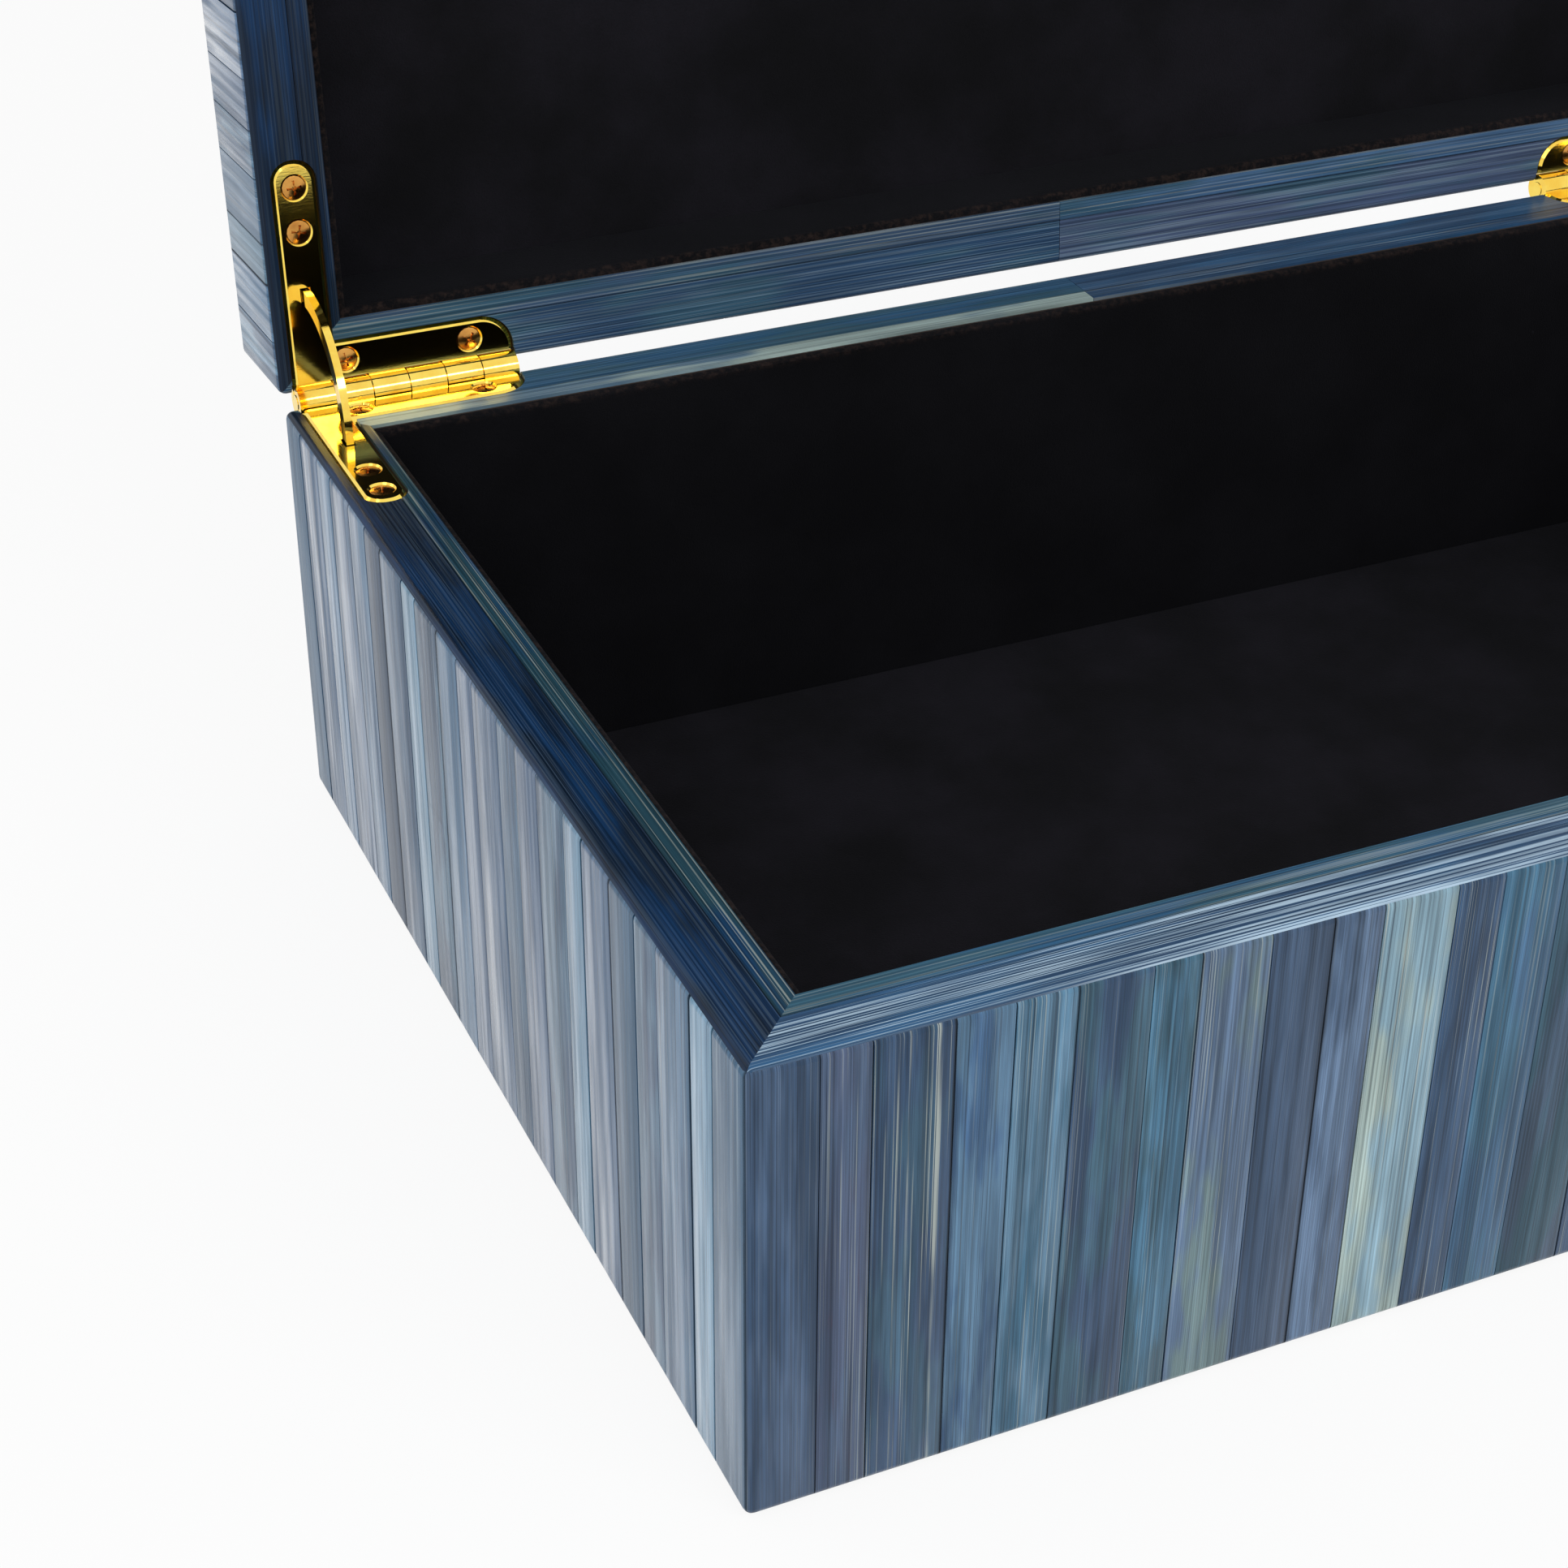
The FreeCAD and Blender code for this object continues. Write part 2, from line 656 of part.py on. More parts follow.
def make_lining(shell):
    """Velvet lining of a shell: one piece on its panel and one on each wall."""
    panel_face = f"({shell.wall_end} - {shell.panel})"
    covered = f"({panel_face} - lining_thickness)"
    for side in SIDES:
        z_span = levels(shell, "lining_drop", covered)
        name = f"{shell.name}_{side}_lining"
        inner = "(wall_thickness + lining_thickness)"
        piece = keep(mitred_piece(name, side, "wall_thickness", inner, z_span), shell.turn)
        if side == "left":
            keep_mirrored(f"{shell.name}_right_lining", piece)
    name = "base_floor_lining" if shell is BASE else "lid_top_lining"
    x_span, y_span = inside_spans("wall_thickness")
    sheet_block = block(f"{name}_sheet", x_span, y_span, levels(shell, covered, panel_face))
    keep(group(name, [sheet_block]), shell.turn)


def make_felt():
    """Felt under the base."""
    x_span, y_span = inside_spans("felt_inset")
    z_span = levels(BASE, BASE.wall_end, "base_height")
    keep(group("bottom_felt", [block("bottom_felt_sheet", x_span, y_span, z_span)]))


def make_box():
    """All the pieces: the hinges first, because they say what is cut out of the walls."""
    cutters = make_hinges()
    for shell in (BASE, LID):
        envelope = make_envelope(shell)
        make_panels(shell, cutters[shell], envelope)
        make_rims(shell, cutters[shell], envelope)
        make_strips(shell, cutters[shell], envelope)
        make_lining(shell)
        if shell is LID:
            make_lid_top_strips(envelope)
    make_felt()


def check_document():
    """Stop if any object failed, or any node's shape is empty or unsound."""
    doc.recompute()
    failed = [item.Name for item in doc.Objects if {"Invalid", "Error"} & set(item.State)]
    unsound = [item.Name for item in nodes if item.Shape.isNull() or not item.Shape.isValid()]
    if failed or unsound:
        raise RuntimeError(f"failed objects {failed}, unsound shapes {unsound}")


def write_parts():
    """Write each node to a file of its own."""
    os.makedirs("parts", exist_ok=True)
    for item in nodes:
        item.Shape.exportStep(f"parts/{item.Label}.step")


fill_sheet()
make_box()
check_document()
write_parts()
print(len(nodes), "nodes written")
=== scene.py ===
"""Looks of the keepsake box: straw strips, straw rims, velvet lining, felt and polished brass hinges.

Lengths are in millimetres while a piece is shaped and in metres in the finished mesh. Every piece of the
lid is shaped with the lid closed and then turned about the hinge axis to where the lid stands at rest.
"""

import json
import logging
import math
import random
from dataclasses import dataclass
from enum import Enum
from typing import Callable, Iterable, Optional, Sequence, Union

import bmesh
import bpy
from mathutils import Matrix, Vector


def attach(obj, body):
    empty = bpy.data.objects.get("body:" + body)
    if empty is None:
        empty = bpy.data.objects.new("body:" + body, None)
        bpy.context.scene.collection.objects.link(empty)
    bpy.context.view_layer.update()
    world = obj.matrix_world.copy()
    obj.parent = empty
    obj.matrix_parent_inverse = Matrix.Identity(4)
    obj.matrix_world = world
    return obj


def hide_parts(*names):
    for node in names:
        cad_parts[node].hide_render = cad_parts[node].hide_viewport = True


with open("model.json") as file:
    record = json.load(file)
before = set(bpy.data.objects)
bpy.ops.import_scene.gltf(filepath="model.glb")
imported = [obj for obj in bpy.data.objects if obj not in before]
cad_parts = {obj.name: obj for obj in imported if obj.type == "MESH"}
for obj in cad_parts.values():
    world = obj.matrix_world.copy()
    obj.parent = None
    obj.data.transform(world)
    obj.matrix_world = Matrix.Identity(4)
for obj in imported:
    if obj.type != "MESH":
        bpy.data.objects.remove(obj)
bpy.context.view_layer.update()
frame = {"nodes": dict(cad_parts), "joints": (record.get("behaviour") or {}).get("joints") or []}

log = logging.getLogger("keepsake_box")

MM = 0.001
ALONG_SHARE = 0.9
Number = Union[int, float]
Rgba = tuple[float, float, float, float]
Settings = Optional[dict]
EdgeTest = Callable[[bmesh.types.BMEdge], bool]


class Shell(Enum):
    """The two halves of the box, by the name of the body that each rides on."""

    BASE = "base"
    LID = "lid"


class Side(Enum):
    """Sides of a shell, with the sign and index of the axis that each faces."""

    FRONT = ("front", -1, 1)
    BACK = ("back", 1, 1)
    LEFT = ("left", -1, 0)
    RIGHT = ("right", 1, 0)

    @property
    def label(self) -> str:
        """The side's name in a piece's name."""
        return self.value[0]

    @property
    def sign(self) -> int:
        """Which end of its axis the side faces."""
        return self.value[1]

    @property
    def axis(self) -> int:
        """Index of the axis that the side faces."""
        return self.value[2]

    @property
    def across(self) -> int:
        """Index of the level axis that runs along the side."""
        return 1 - self.axis


class Tone(Enum):
    """Dyes of the straw, and the dark of its seams with painted shade, as display colours."""

    SLATE = (68, 92, 122)
    VIOLET = (74, 90, 120)
    TEAL = (56, 94, 114)
    DENIM = (64, 102, 142)
    STEEL = (102, 140, 168)
    SEA = (68, 116, 146)
    LAVENDER = (98, 124, 156)
    NAVY = (48, 76, 108)
    ROYAL = (17, 54, 94)
    INK = (15, 33, 54)
    PINE = (36, 68, 82)
    MIST = (164, 184, 180)
    SILVER = (72, 122, 162)
    PEARL = (114, 160, 192)
    ASH = (48, 93, 133)
    DUSK = (74, 108, 146)
    SAGE = (118, 144, 146)
    FROST = (186, 202, 210)
    ICE = (184, 210, 230)
    CREAM = (190, 198, 190)
    # Dark of the seams: the joints between strips, deepened by painted shade in their gaps.
    SOOT = (16, 22, 30)

    @property
    def colour(self) -> Rgba:
        """The dye as a scene-linear colour."""
        return (*(linear(part) for part in self.value), 1.0)


def linear(part: Number) -> float:
    """Scene-linear share of one display value from 0 to 255."""
    share = part / 255
    return share / 12.92 if share <= 0.04045 else ((share + 0.055) / 1.055) ** 2.4


def display(*parts: Number) -> Rgba:
    """Scene-linear colour of three display values."""
    return (*(linear(part) for part in parts), 1.0)


@dataclass(frozen=True)
class BoxSizes:
    """Sizes of the box that its pieces share."""

    width: float = 305.0
    depth: float = 203.0
    wall: float = 12.0
    veneer: float = 0.6
    edge_round: float = 1.4
    edge_facets: int = 4
    strip_width: float = 9.3
    strip_wander: float = 0.13
    strip_turn: float = 137.5
    rim_inner: float = 3.5
    lining: float = 1.5
    lining_drop: float = 0.8
    felt: float = 0.8
    felt_inset: float = 3.0
    base_top: float = 76.0
    base_panel: float = 3.5
    lid_bottom: float = 76.4
    lid_top: float = 101.9
    lid_panel: float = 5.0
    barrel_room: float = 3.2
    barrel_span: tuple[float, float] = (109.4, 150.2)

    def half(self, axis: int) -> float:
        """Half of the box's width or depth."""
        return (self.width if axis == 0 else self.depth) / 2

    def heights(self, shell: Shell) -> tuple[float, float]:
        """Lowest and highest level of a shell's outside."""
        return (self.felt, self.base_top) if shell is Shell.BASE else (self.lid_bottom, self.lid_top)


SIZES = BoxSizes()


@dataclass(frozen=True)
class HingeAxis:
    """Where the lid turns, and how far it stands open at rest."""

    point: tuple[float, float, float]
    opening: float

    @classmethod
    def packed(cls) -> "HingeAxis":
        """The lid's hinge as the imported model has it."""
        joint = next(item for item in frame["joints"] if item["name"] == "lid_hinge")
        return cls(tuple(joint["pos_m"]), math.radians(joint["range_deg"][1]))

    def opened(self) -> Matrix:
        """The move from the closed lid to the open one, in metres."""
        there = Matrix.Translation(self.point)
        return there @ Matrix.Rotation(-self.opening, 4, "X") @ there.inverted()


HINGE = HingeAxis.packed()


class Value:
    """A node's output whose operators add Math nodes."""

    def __init__(self, bench: "Bench", socket: bpy.types.NodeSocket) -> None:
        """Keep the socket and the bench that it belongs to."""
        self.bench = bench
        self.socket = socket

    def _math(self, operation: str, *terms: "Term") -> "Value":
        """Add a Math node on some terms."""
        inputs = dict(enumerate(terms))
        return self.bench.value("ShaderNodeMath", {"operation": operation}, inputs)

    def __add__(self, other: "Term") -> "Value":
        """Sum."""
        return self._math("ADD", self, other)

    __radd__ = __add__

    def __sub__(self, other: "Term") -> "Value":
        """Difference."""
        return self._math("SUBTRACT", self, other)

    def __rsub__(self, other: "Term") -> "Value":
        """Difference from a number."""
        return self._math("SUBTRACT", other, self)

    def __mul__(self, other: "Term") -> "Value":
        """Product."""
        return self._math("MULTIPLY", self, other)

    __rmul__ = __mul__

    def __abs__(self) -> "Value":
        """Size without sign."""
        return self._math("ABSOLUTE", self)

    def __gt__(self, other: "Term") -> "Value":
        """One where this is the greater, else zero."""
        return self._math("GREATER_THAN", self, other)

    def most(self, other: "Term") -> "Value":
        """The larger of two values."""
        return self._math("MAXIMUM", self, other)

    def step(self, low: "Term", high: "Term") -> "Value":
        """Smooth rise from zero at one value to one at another.

        Args:
            low: Where the rise starts.
            high: Where it ends.

        Returns:
            The rise, from 0 to 1.
        """
        settings = {"interpolation_type": "SMOOTHSTEP"}
        inputs = {"Value": self, "From Min": low, "From Max": high}
        return self.bench.value("ShaderNodeMapRange", settings, inputs)


Term = Union[Value, Number]
Colour = Union[Value, Sequence[float]]


class Bench:
    """Node tree of one material, where any node is added by one method."""

    def __init__(self, tree: bpy.types.NodeTree) -> None:
        """Start from an empty tree."""
        self.tree = tree
        self.tree.nodes.clear()

    @classmethod
    def material(cls, name: str) -> tuple["Bench", bpy.types.Material]:
        """A new material and its bench.

        Args:
            name: The material's name.

        Returns:
            The bench and the material.
        """
        made = bpy.data.materials.new(name)
        made.use_nodes = True
        return cls(made.node_tree), made

    def node(self, kind: str, settings: Settings = None, inputs: Settings = None) -> bpy.types.Node:
        """Add a node.

        Args:
            kind: The node's type.
            settings: Its properties, which are set first.
            inputs: Values or links of its sockets, by name or index.

        Returns:
            The node.
        """
        made = self.tree.nodes.new(kind)
        for name, setting in (settings or {}).items():
            setattr(made, name, setting)
        for key, given in (inputs or {}).items():
            socket = made.inputs[key]
            if isinstance(given, Value):
                self.tree.links.new(given.socket, socket)
            elif isinstance(given, bpy.types.NodeSocket):
                self.tree.links.new(given, socket)
            else:
                socket.default_value = given
        return made

    def value(
        self, kind: str, settings: Settings = None, inputs: Settings = None, out: Union[int, str] = 0,
    ) -> Value:
        """Add a node and wrap one of its outputs."""
        return Value(self, self.node(kind, settings, inputs).outputs[out])

    def mix(self, share: Term, first: Colour, second: Colour) -> Value:
        """Blend two colours by a share from 0 to 1."""
        settings = {"data_type": "RGBA", "blend_type": "MIX", "clamp_factor": True}
        return self.value("ShaderNodeMix", settings, {0: share, 6: first, 7: second}, 2)

    def scaled(self, colour: Colour, factor: Term) -> Value:
        """A colour times a factor."""
        return self.value("ShaderNodeVectorMath", {"operation": "SCALE"}, {0: colour, "Scale": factor})

    def vector(self, x: Term, y: Term, z: Term) -> Value:
        """A vector from its three parts."""
        return self.value("ShaderNodeCombineXYZ", None, {0: x, 1: y, 2: z})

    def parts(self, vector: Value) -> tuple[Value, Value, Value]:
        """The three parts of a vector."""
        split = self.node("ShaderNodeSeparateXYZ", None, {0: vector})
        return tuple(Value(self, socket) for socket in split.outputs)

    def noise(self, vector: Value, scale: Number = 1.0, detail: Number = 2.0, rough: Number = 0.5) -> Value:
        """Cloudy noise around a half."""
        inputs = {"Vector": vector, "Scale": scale, "Detail": detail, "Roughness": rough}
        return self.value("ShaderNodeTexNoise", {"noise_dimensions": "3D"}, inputs)

    def attribute(self, name: str, out: str = "Vector") -> Value:
        """What a mesh notes under a name at each of its points."""
        return self.value("ShaderNodeAttribute", {"attribute_name": name}, None, out)

    def place(self, shell: Shell = Shell.BASE) -> Value:
        """Object coordinates in millimetres, with the lid's turned back to where it lies closed.

        Args:
            shell: The shell that the piece rides on.

        Returns:
            The coordinates.
        """
        spot = self.value("ShaderNodeTexCoord", None, None, "Object")
        if shell is Shell.LID:
            to_axis = {"Location": tuple(-part for part in HINGE.point)}
            to_closed = {"Location": HINGE.point, "Rotation": (HINGE.opening, 0, 0)}
            for move in (to_axis, to_closed):
                spot = self.value("ShaderNodeMapping", {"vector_type": "POINT"}, move | {"Vector": spot})
        return self.scaled(spot, 1 / MM)

    def finish(self, **sockets: object) -> None:
        """Add the surface shader and the output.

        Args:
            sockets: The shader's sockets, with underscores for the spaces in their names.
        """
        inputs = {name.replace("_", " "): given for name, given in sockets.items()}
        surface = self.node("ShaderNodeBsdfPrincipled", None, inputs)
        self.node("ShaderNodeOutputMaterial", None, {"Surface": surface.outputs[0]})

    def bump(self, height: Value, strength: Number, distance: Number) -> Value:
        """Normal of a surface raised by a height."""
        inputs = {"Height": height, "Strength": strength, "Distance": distance}
        return self.value("ShaderNodeBump", None, inputs)


@dataclass(frozen=True)
class Grain:
    """Drawn-out noise in straw.

    It says how fast the noise changes across and along the straw, where it starts, how detailed and rough it
    is, and between which values its dark parts turn into its light ones.
    """

    across: float
    along: float
    start: float = 0.0
    detail: float = 2.0
    rough: float = 0.5
    low: float = 0.3
    high: float = 0.7

    def light(self, noise: Value) -> Value:
        """Where the noise is light, from 0 to 1."""
        return noise.step(self.low, self.high)


@dataclass(frozen=True)
class StrawSpot:
    """Where a point lies on a strip of straw, and the strip's number."""

    bench: Bench
    across: Value
    along: Value
    number: Value

    def noise(self, grain: Grain) -> Value:
        """A grain's noise at the point."""
        parts = (self.across * grain.across, self.along * grain.along, self.number + grain.start)
        return self.bench.noise(self.bench.vector(*parts), 1.0, grain.detail, grain.rough)

    def own(self, start: Number) -> Value:
        """A share from 0 to 1 that each strip has for itself."""
        inputs = {"W": self.number + start}
        return self.bench.value("ShaderNodeTexWhiteNoise", {"noise_dimensions": "1D"}, inputs)


@dataclass(frozen=True)
class StrawFinish:
    """Dyed, split straw under satin lacquer, laid in upright strips.

    A strip's mesh says where each point lies on it, across from 0 to 1, along in metres and its number. It
    also gives the strip's dye, the dye of its clouds, and how much it has of pale hairs, clouds and rust.
    """

    name: str
    depth: float = 0.93
    shine: float = 0.35
    hair_tone: Tone = Tone.CREAM
    gloss: float = 0.36
    fibre_share: float = 0.55
    fine_share: float = 0.28
    own_share: float = 0.28
    streak_share: float = 1.0
    # Gains of the straw's own lighter streaks and of broad painted sheen; both also drive the satin coat.
    streak_gain: float = 0.38
    sheen_bloom_gain: float = 0.42
    usual_streaks: float = 0.4
    usual_light: float = 0.92
    streak_light: float = 1.02
    split_share: float = 0.55
    # How deep the seams' dark core and painted shade go, and how far they reach onto a strip.
    seam_depth: float = 0.9
    seam_width: float = 0.34
    seam_start: float = 0.04
    open_seams: tuple[float, float] = (0.4, 0.9)
    satin_streaks: tuple[float, float] = (0.35, 0.65)
    satin_sheen_blooms: tuple[float, float] = (0.4, 0.65)
    satin_share: float = 0.6
    satin_spread: float = 1.2
    fibre_rough: float = 0.25
    seam_rough: float = 0.3
    fibre_height: float = 0.00012
    rust_tone: Rgba = display(74, 46, 58)
    fibres: Grain = Grain(32.0, 8.0, 0.0, 3.0, 0.7)
    fine_fibres: Grain = Grain(85.0, 20.0, 3.1)
    streaks_and_sheen: Grain = Grain(7.0, 11.0, 7.7)
    clouds: Grain = Grain(1.6, 30.0, 11.3, 3.0, 0.6, 0.43, 0.58)
    # Broad patches of painted sheen, where the satin coat shines as well.
    sheen_blooms: Grain = Grain(4.0, 24.0, 15.1, 3.0, 0.65, 0.4, 0.68)
    hairs: Grain = Grain(42.0, 4.0, 19.9, 2.0, 0.6, 0.56, 0.63)
    hair_breaks: Grain = Grain(7.0, 26.0, 23.3, 2.0, 0.6, 0.4, 0.62)
    splits: Grain = Grain(28.0, 6.0, 29.1, 2.0, 0.6, 0.58, 0.68)
    rust: Grain = Grain(8.0, 45.0, 31.7, 3.0, 0.6, 0.6, 0.74)
    seam_rags: Grain = Grain(3.0, 80.0, 5.5, 3.0, 0.7)

    def material(self) -> bpy.types.Material:
        """The straw with its fibres, hairlines, clouded dye, ragged seams with painted shade, and painted
        sheen where its coat shines.

        Returns:
            The material.
        """
        bench, made = Bench.material(self.name)
        spot = StrawSpot(bench, *bench.parts(bench.attribute("straw")))
        fibre, fine = spot.noise(self.fibres), spot.noise(self.fine_fibres)
        streak, sheen_bloom = spot.noise(self.streaks_and_sheen), spot.noise(self.sheen_blooms)
        own = spot.own(0.5)
        light = self.usual_light + (self.fibres.light(fibre) - 0.5) * self.fibre_share
        light = light + (self.fine_fibres.light(fine) - 0.5) * self.fine_share
        # Streaks and blooms lighten the straw where the satin coat shines: its own lighter streaks, and
        # painted sheen.
        streaks_and_sheen = self.streaks_and_sheen.light(streak) * self.streak_gain + self.sheen_blooms.light(sheen_bloom) * self.sheen_bloom_gain
        light = light * (self.streak_light + (streaks_and_sheen - self.usual_streaks) * self.streak_share)
        light = light * (1.0 - self.own_share / 2 + own * self.own_share)
        # Seams: the dark core between strips, deepened by painted shade near each strip's edges.
        seam_shade = self.seam_shade(spot)
        colour = bench.mix(seam_shade, self.dyed(spot, light), Tone.SOOT.colour)
        satin = streak.step(*self.satin_streaks) + sheen_bloom.step(*self.satin_sheen_blooms)
        satin = satin * (self.satin_share + (own - 0.5) * self.satin_spread * self.own_share)
        rough = self.gloss + (fibre - 0.5) * self.fibre_rough + seam_shade * self.seam_rough
        bench.finish(
            Base_Color=colour, Roughness=rough, Specular_IOR_Level=0.25,
            Coat_Weight=satin * (1.0 - seam_shade) * self.shine, Coat_Roughness=0.2,
            Normal=bench.bump(fibre * 0.7 + fine * 0.3, 0.3, self.fibre_height),
        )
        return made

    def dyed(self, spot: StrawSpot, light: Value) -> Value:
        """The straw's colour with its clouds, splits, rust and pale hairs.

        Args:
            spot: The place on the strip.
            light: How light the straw is there, painted sheen included.

        Returns:
            The colour.
        """
        bench = spot.bench
        hairs, clouds, rusty = bench.parts(bench.attribute("marks"))
        clouded = self.clouds.light(spot.noise(self.clouds)) * clouds
        colour = bench.mix(clouded, bench.attribute("tone", "Color"), bench.attribute("cloud", "Color"))
        colour = bench.scaled(colour, light * self.depth)
        split = self.splits.light(spot.noise(self.splits)) * self.split_share
        colour = bench.mix(split, colour, Tone.INK.colour)
        rust = self.rust.light(spot.noise(self.rust)) * rusty
        colour = bench.mix(rust, colour, self.rust_tone)
        pale = self.hairs.light(spot.noise(self.hairs)) * self.hair_breaks.light(spot.noise(self.hair_breaks))
        return bench.mix(pale * hairs, colour, self.hair_tone.colour)

    def seam_shade(self, spot: StrawSpot) -> Value:
        """How dark the seams beside a strip are: each is ragged, and some are open and others tight. The
        darkness is partly the dark core in the gap and partly painted shade that spreads onto the strip's
        edges.

        Args:
            spot: The place on the strip.

        Returns:
            The darkness with its painted shade, from 0 to 1.
        """
        ragged = spot.noise(self.seam_rags)
        dark = []
        for place, start in ((spot.across, 0.0), (1.0 - spot.across, StripRow.number_step)):
            # An open seam gets more painted shade than a tight one.
            open_share = spot.own(start).step(*self.open_seams)
            reach = self.seam_width * (0.2 + open_share) * (0.4 + ragged)
            inside = (place * SIZES.strip_width).step(self.seam_start, self.seam_start + reach)
            dark.append((1.0 - inside) * (0.3 + open_share * 0.7))
        return dark[0].most(dark[1]) * self.seam_depth


@dataclass(frozen=True)
class RimLook:
    """Dyes of a rim's outer and inner strip before and past the butt joint, its patches and its hairs."""

    outer: tuple[Tone, Tone]
    inner: tuple[Tone, Tone]
    outer_hairs: float
    inner_hairs: float
    patch: Tone


@dataclass(frozen=True)
class RimFinish:
    """Straw laid along a rim in an outer and an inner strip, which may change dye at a butt joint."""

    shell: Shell
    side: Side
    look: RimLook
    joint_width: float = 0.12
    # Reach and depth of the dark joint line, deepened by painted shade in its gap.
    joint_reach: tuple[float, float] = (0.04, 0.3)
    joint_depth: float = 0.5
    patch_share: float = 0.75
    gloss: float = 0.32
    fibre_rough: float = 0.2
    scratch_rough: float = 0.12
    fibre_height: float = 0.00012
    inner_start: float = 7.3
    past_start: float = 3.7
    side_start: float = 1.9
    finer_inside: float = 0.04
    fibres: Grain = Grain(3.6, 0.012, 0.0, 3.0, 0.7)
    hairs: Grain = Grain(3.6, 0.008, 4.4, 2.0, 0.5, 0.5, 0.56)
    hair_breaks: Grain = Grain(0.5, 0.03, 6.6, 2.0, 0.6, 0.36, 0.62)
    patches: Grain = Grain(0.15, 0.024, 8.8, 3.0, 0.6, 0.46, 0.62)
    scratches: Grain = Grain(0.25, 4.0, 2.2, 1.0, 0.5, 0.7, 0.8)

    @property
    def jointed(self) -> bool:
        """Whether the straw is pieced half-way along, as it is on the two long rims."""
        return self.side.axis == 1

    def material(self) -> bpy.types.Material:
        """The rim's straw with lines along it.

        Returns:
            The material.
        """
        bench, made = Bench.material(f"{self.shell.value}_{self.side.label}_rim_straw")
        place = bench.parts(bench.place(self.shell))
        along = place[self.side.across]
        half = SIZES.half(self.side.axis)
        inward = half - place[self.side.axis] * self.side.sign
        border = SIZES.wall - SIZES.rim_inner
        past = along > (0.0 if self.jointed else half * 4.0)
        inside = inward.step(border - self.joint_width, border)
        own = len(self.side.label) * self.side_start + len(self.shell.value)
        spot = StrawSpot(bench, inward, along, inside * self.inner_start + past * self.past_start + own)
        fibre = spot.noise(self.fibres)
        colour = self.dyed(spot, past, inside, fibre)
        # Where the outer and the inner strip meet: a dark joint, deepened by painted shade in its gap.
        joint = abs(inward - border).step(*self.joint_reach)
        colour = bench.mix((1.0 - joint) * self.joint_depth, colour, Tone.SOOT.colour)
        scratched = self.scratches.light(spot.noise(self.scratches)) * self.scratch_rough
        rough = self.gloss + (fibre - 0.5) * self.fibre_rough + scratched
        bench.finish(
            Base_Color=colour, Roughness=rough, Specular_IOR_Level=0.14,
            Coat_Weight=0.04, Coat_Roughness=0.18, Normal=bench.bump(fibre, 0.25, self.fibre_height),
        )
        return made

    def dyed(self, spot: StrawSpot, past: Value, inside: Value, fibre: Value) -> Value:
        """The rim's colour with its patches, fibres and pale hairs.

        Args:
            spot: The place on the rim.
            past: One past the butt joint, else zero.
            inside: One on the inner strip, else zero.
            fibre: The fibres' noise.

        Returns:
            The colour.
        """
        bench, look = spot.bench, self.look
        broken = spot.noise(self.hair_breaks)
        outer = bench.mix(past, look.outer[0].colour, look.outer[1].colour)
        inner = bench.mix(past, look.inner[0].colour, look.inner[1].colour)
        patch = self.patches.light(spot.noise(self.patches)) * self.patch_share
        colour = bench.mix(patch, bench.mix(inside, outer, inner), look.patch.colour)
        colour = bench.scaled(colour, (0.5 + self.fibres.light(fibre) * 0.85) * (0.75 + broken * 0.5))
        share = look.outer_hairs + inside * (look.inner_hairs - look.outer_hairs)
        finer = inside * self.finer_inside
        pale = spot.noise(self.hairs).step(self.hairs.low + finer, self.hairs.high + finer)
        pale = pale * (0.4 + self.hair_breaks.light(broken) * 0.6) * share
        return bench.mix(pale, colour, bench.mix(inside, Tone.ICE.colour, Tone.CREAM.colour))


@dataclass(frozen=True)
class VelvetFinish:
    """Short black pile with a faint nap, a little lint and, on a wall, a frayed edge."""

    name: str
    dark: Rgba
    light: Rgba
    shell: Shell
    lip: Optional[float] = None
    pile_scale: float = 3.2
    nap_scale: float = 0.035
    lint_scale: float = 0.16
    fray_scale: float = 0.9
    fray_reach: tuple[float, float] = (0.2, 1.5)
    pile_height: float = 0.0003
    lint_share: float = 0.5
    lint_tone: Rgba = display(78, 80, 90)
    fray_share: float = 0.5
    fray_tone: Rgba = display(54, 42, 38)
    sheen_tone: Rgba = display(120, 124, 140)

    def material(self) -> bpy.types.Material:
        """The pile with its nap, mottling and lint.

        Returns:
            The material.
        """
        bench, made = Bench.material(self.name)
        spot = bench.place(self.shell)
        pile = bench.noise(spot, self.pile_scale, 2.0, 0.7)
        nap = bench.noise(spot, self.nap_scale, 4.0, 0.6)
        lint = bench.noise(spot, self.lint_scale, 5.0, 0.62)
        colour = bench.mix(nap.step(0.3, 0.75), self.dark, self.light)
        colour = bench.scaled(colour, 0.45 + pile * 1.1)
        colour = bench.mix(lint.step(0.73, 0.8) * self.lint_share, colour, self.lint_tone)
        if self.lip is not None:
            height = bench.parts(spot)[2]
            fray = bench.noise(spot, self.fray_scale, 3.0, 0.7).step(0.4, 0.7)
            frayed = (1.0 - abs(height - self.lip).step(*self.fray_reach)) * fray * self.fray_share
            colour = bench.mix(frayed, colour, self.fray_tone)
        bench.finish(
            Base_Color=colour, Roughness=0.82 + pile * 0.16, Specular_IOR_Level=0.12,
            Sheen_Weight=0.05, Sheen_Roughness=0.45, Sheen_Tint=self.sheen_tone,
            Normal=bench.bump(pile, 0.5, self.pile_height),
        )
        return made


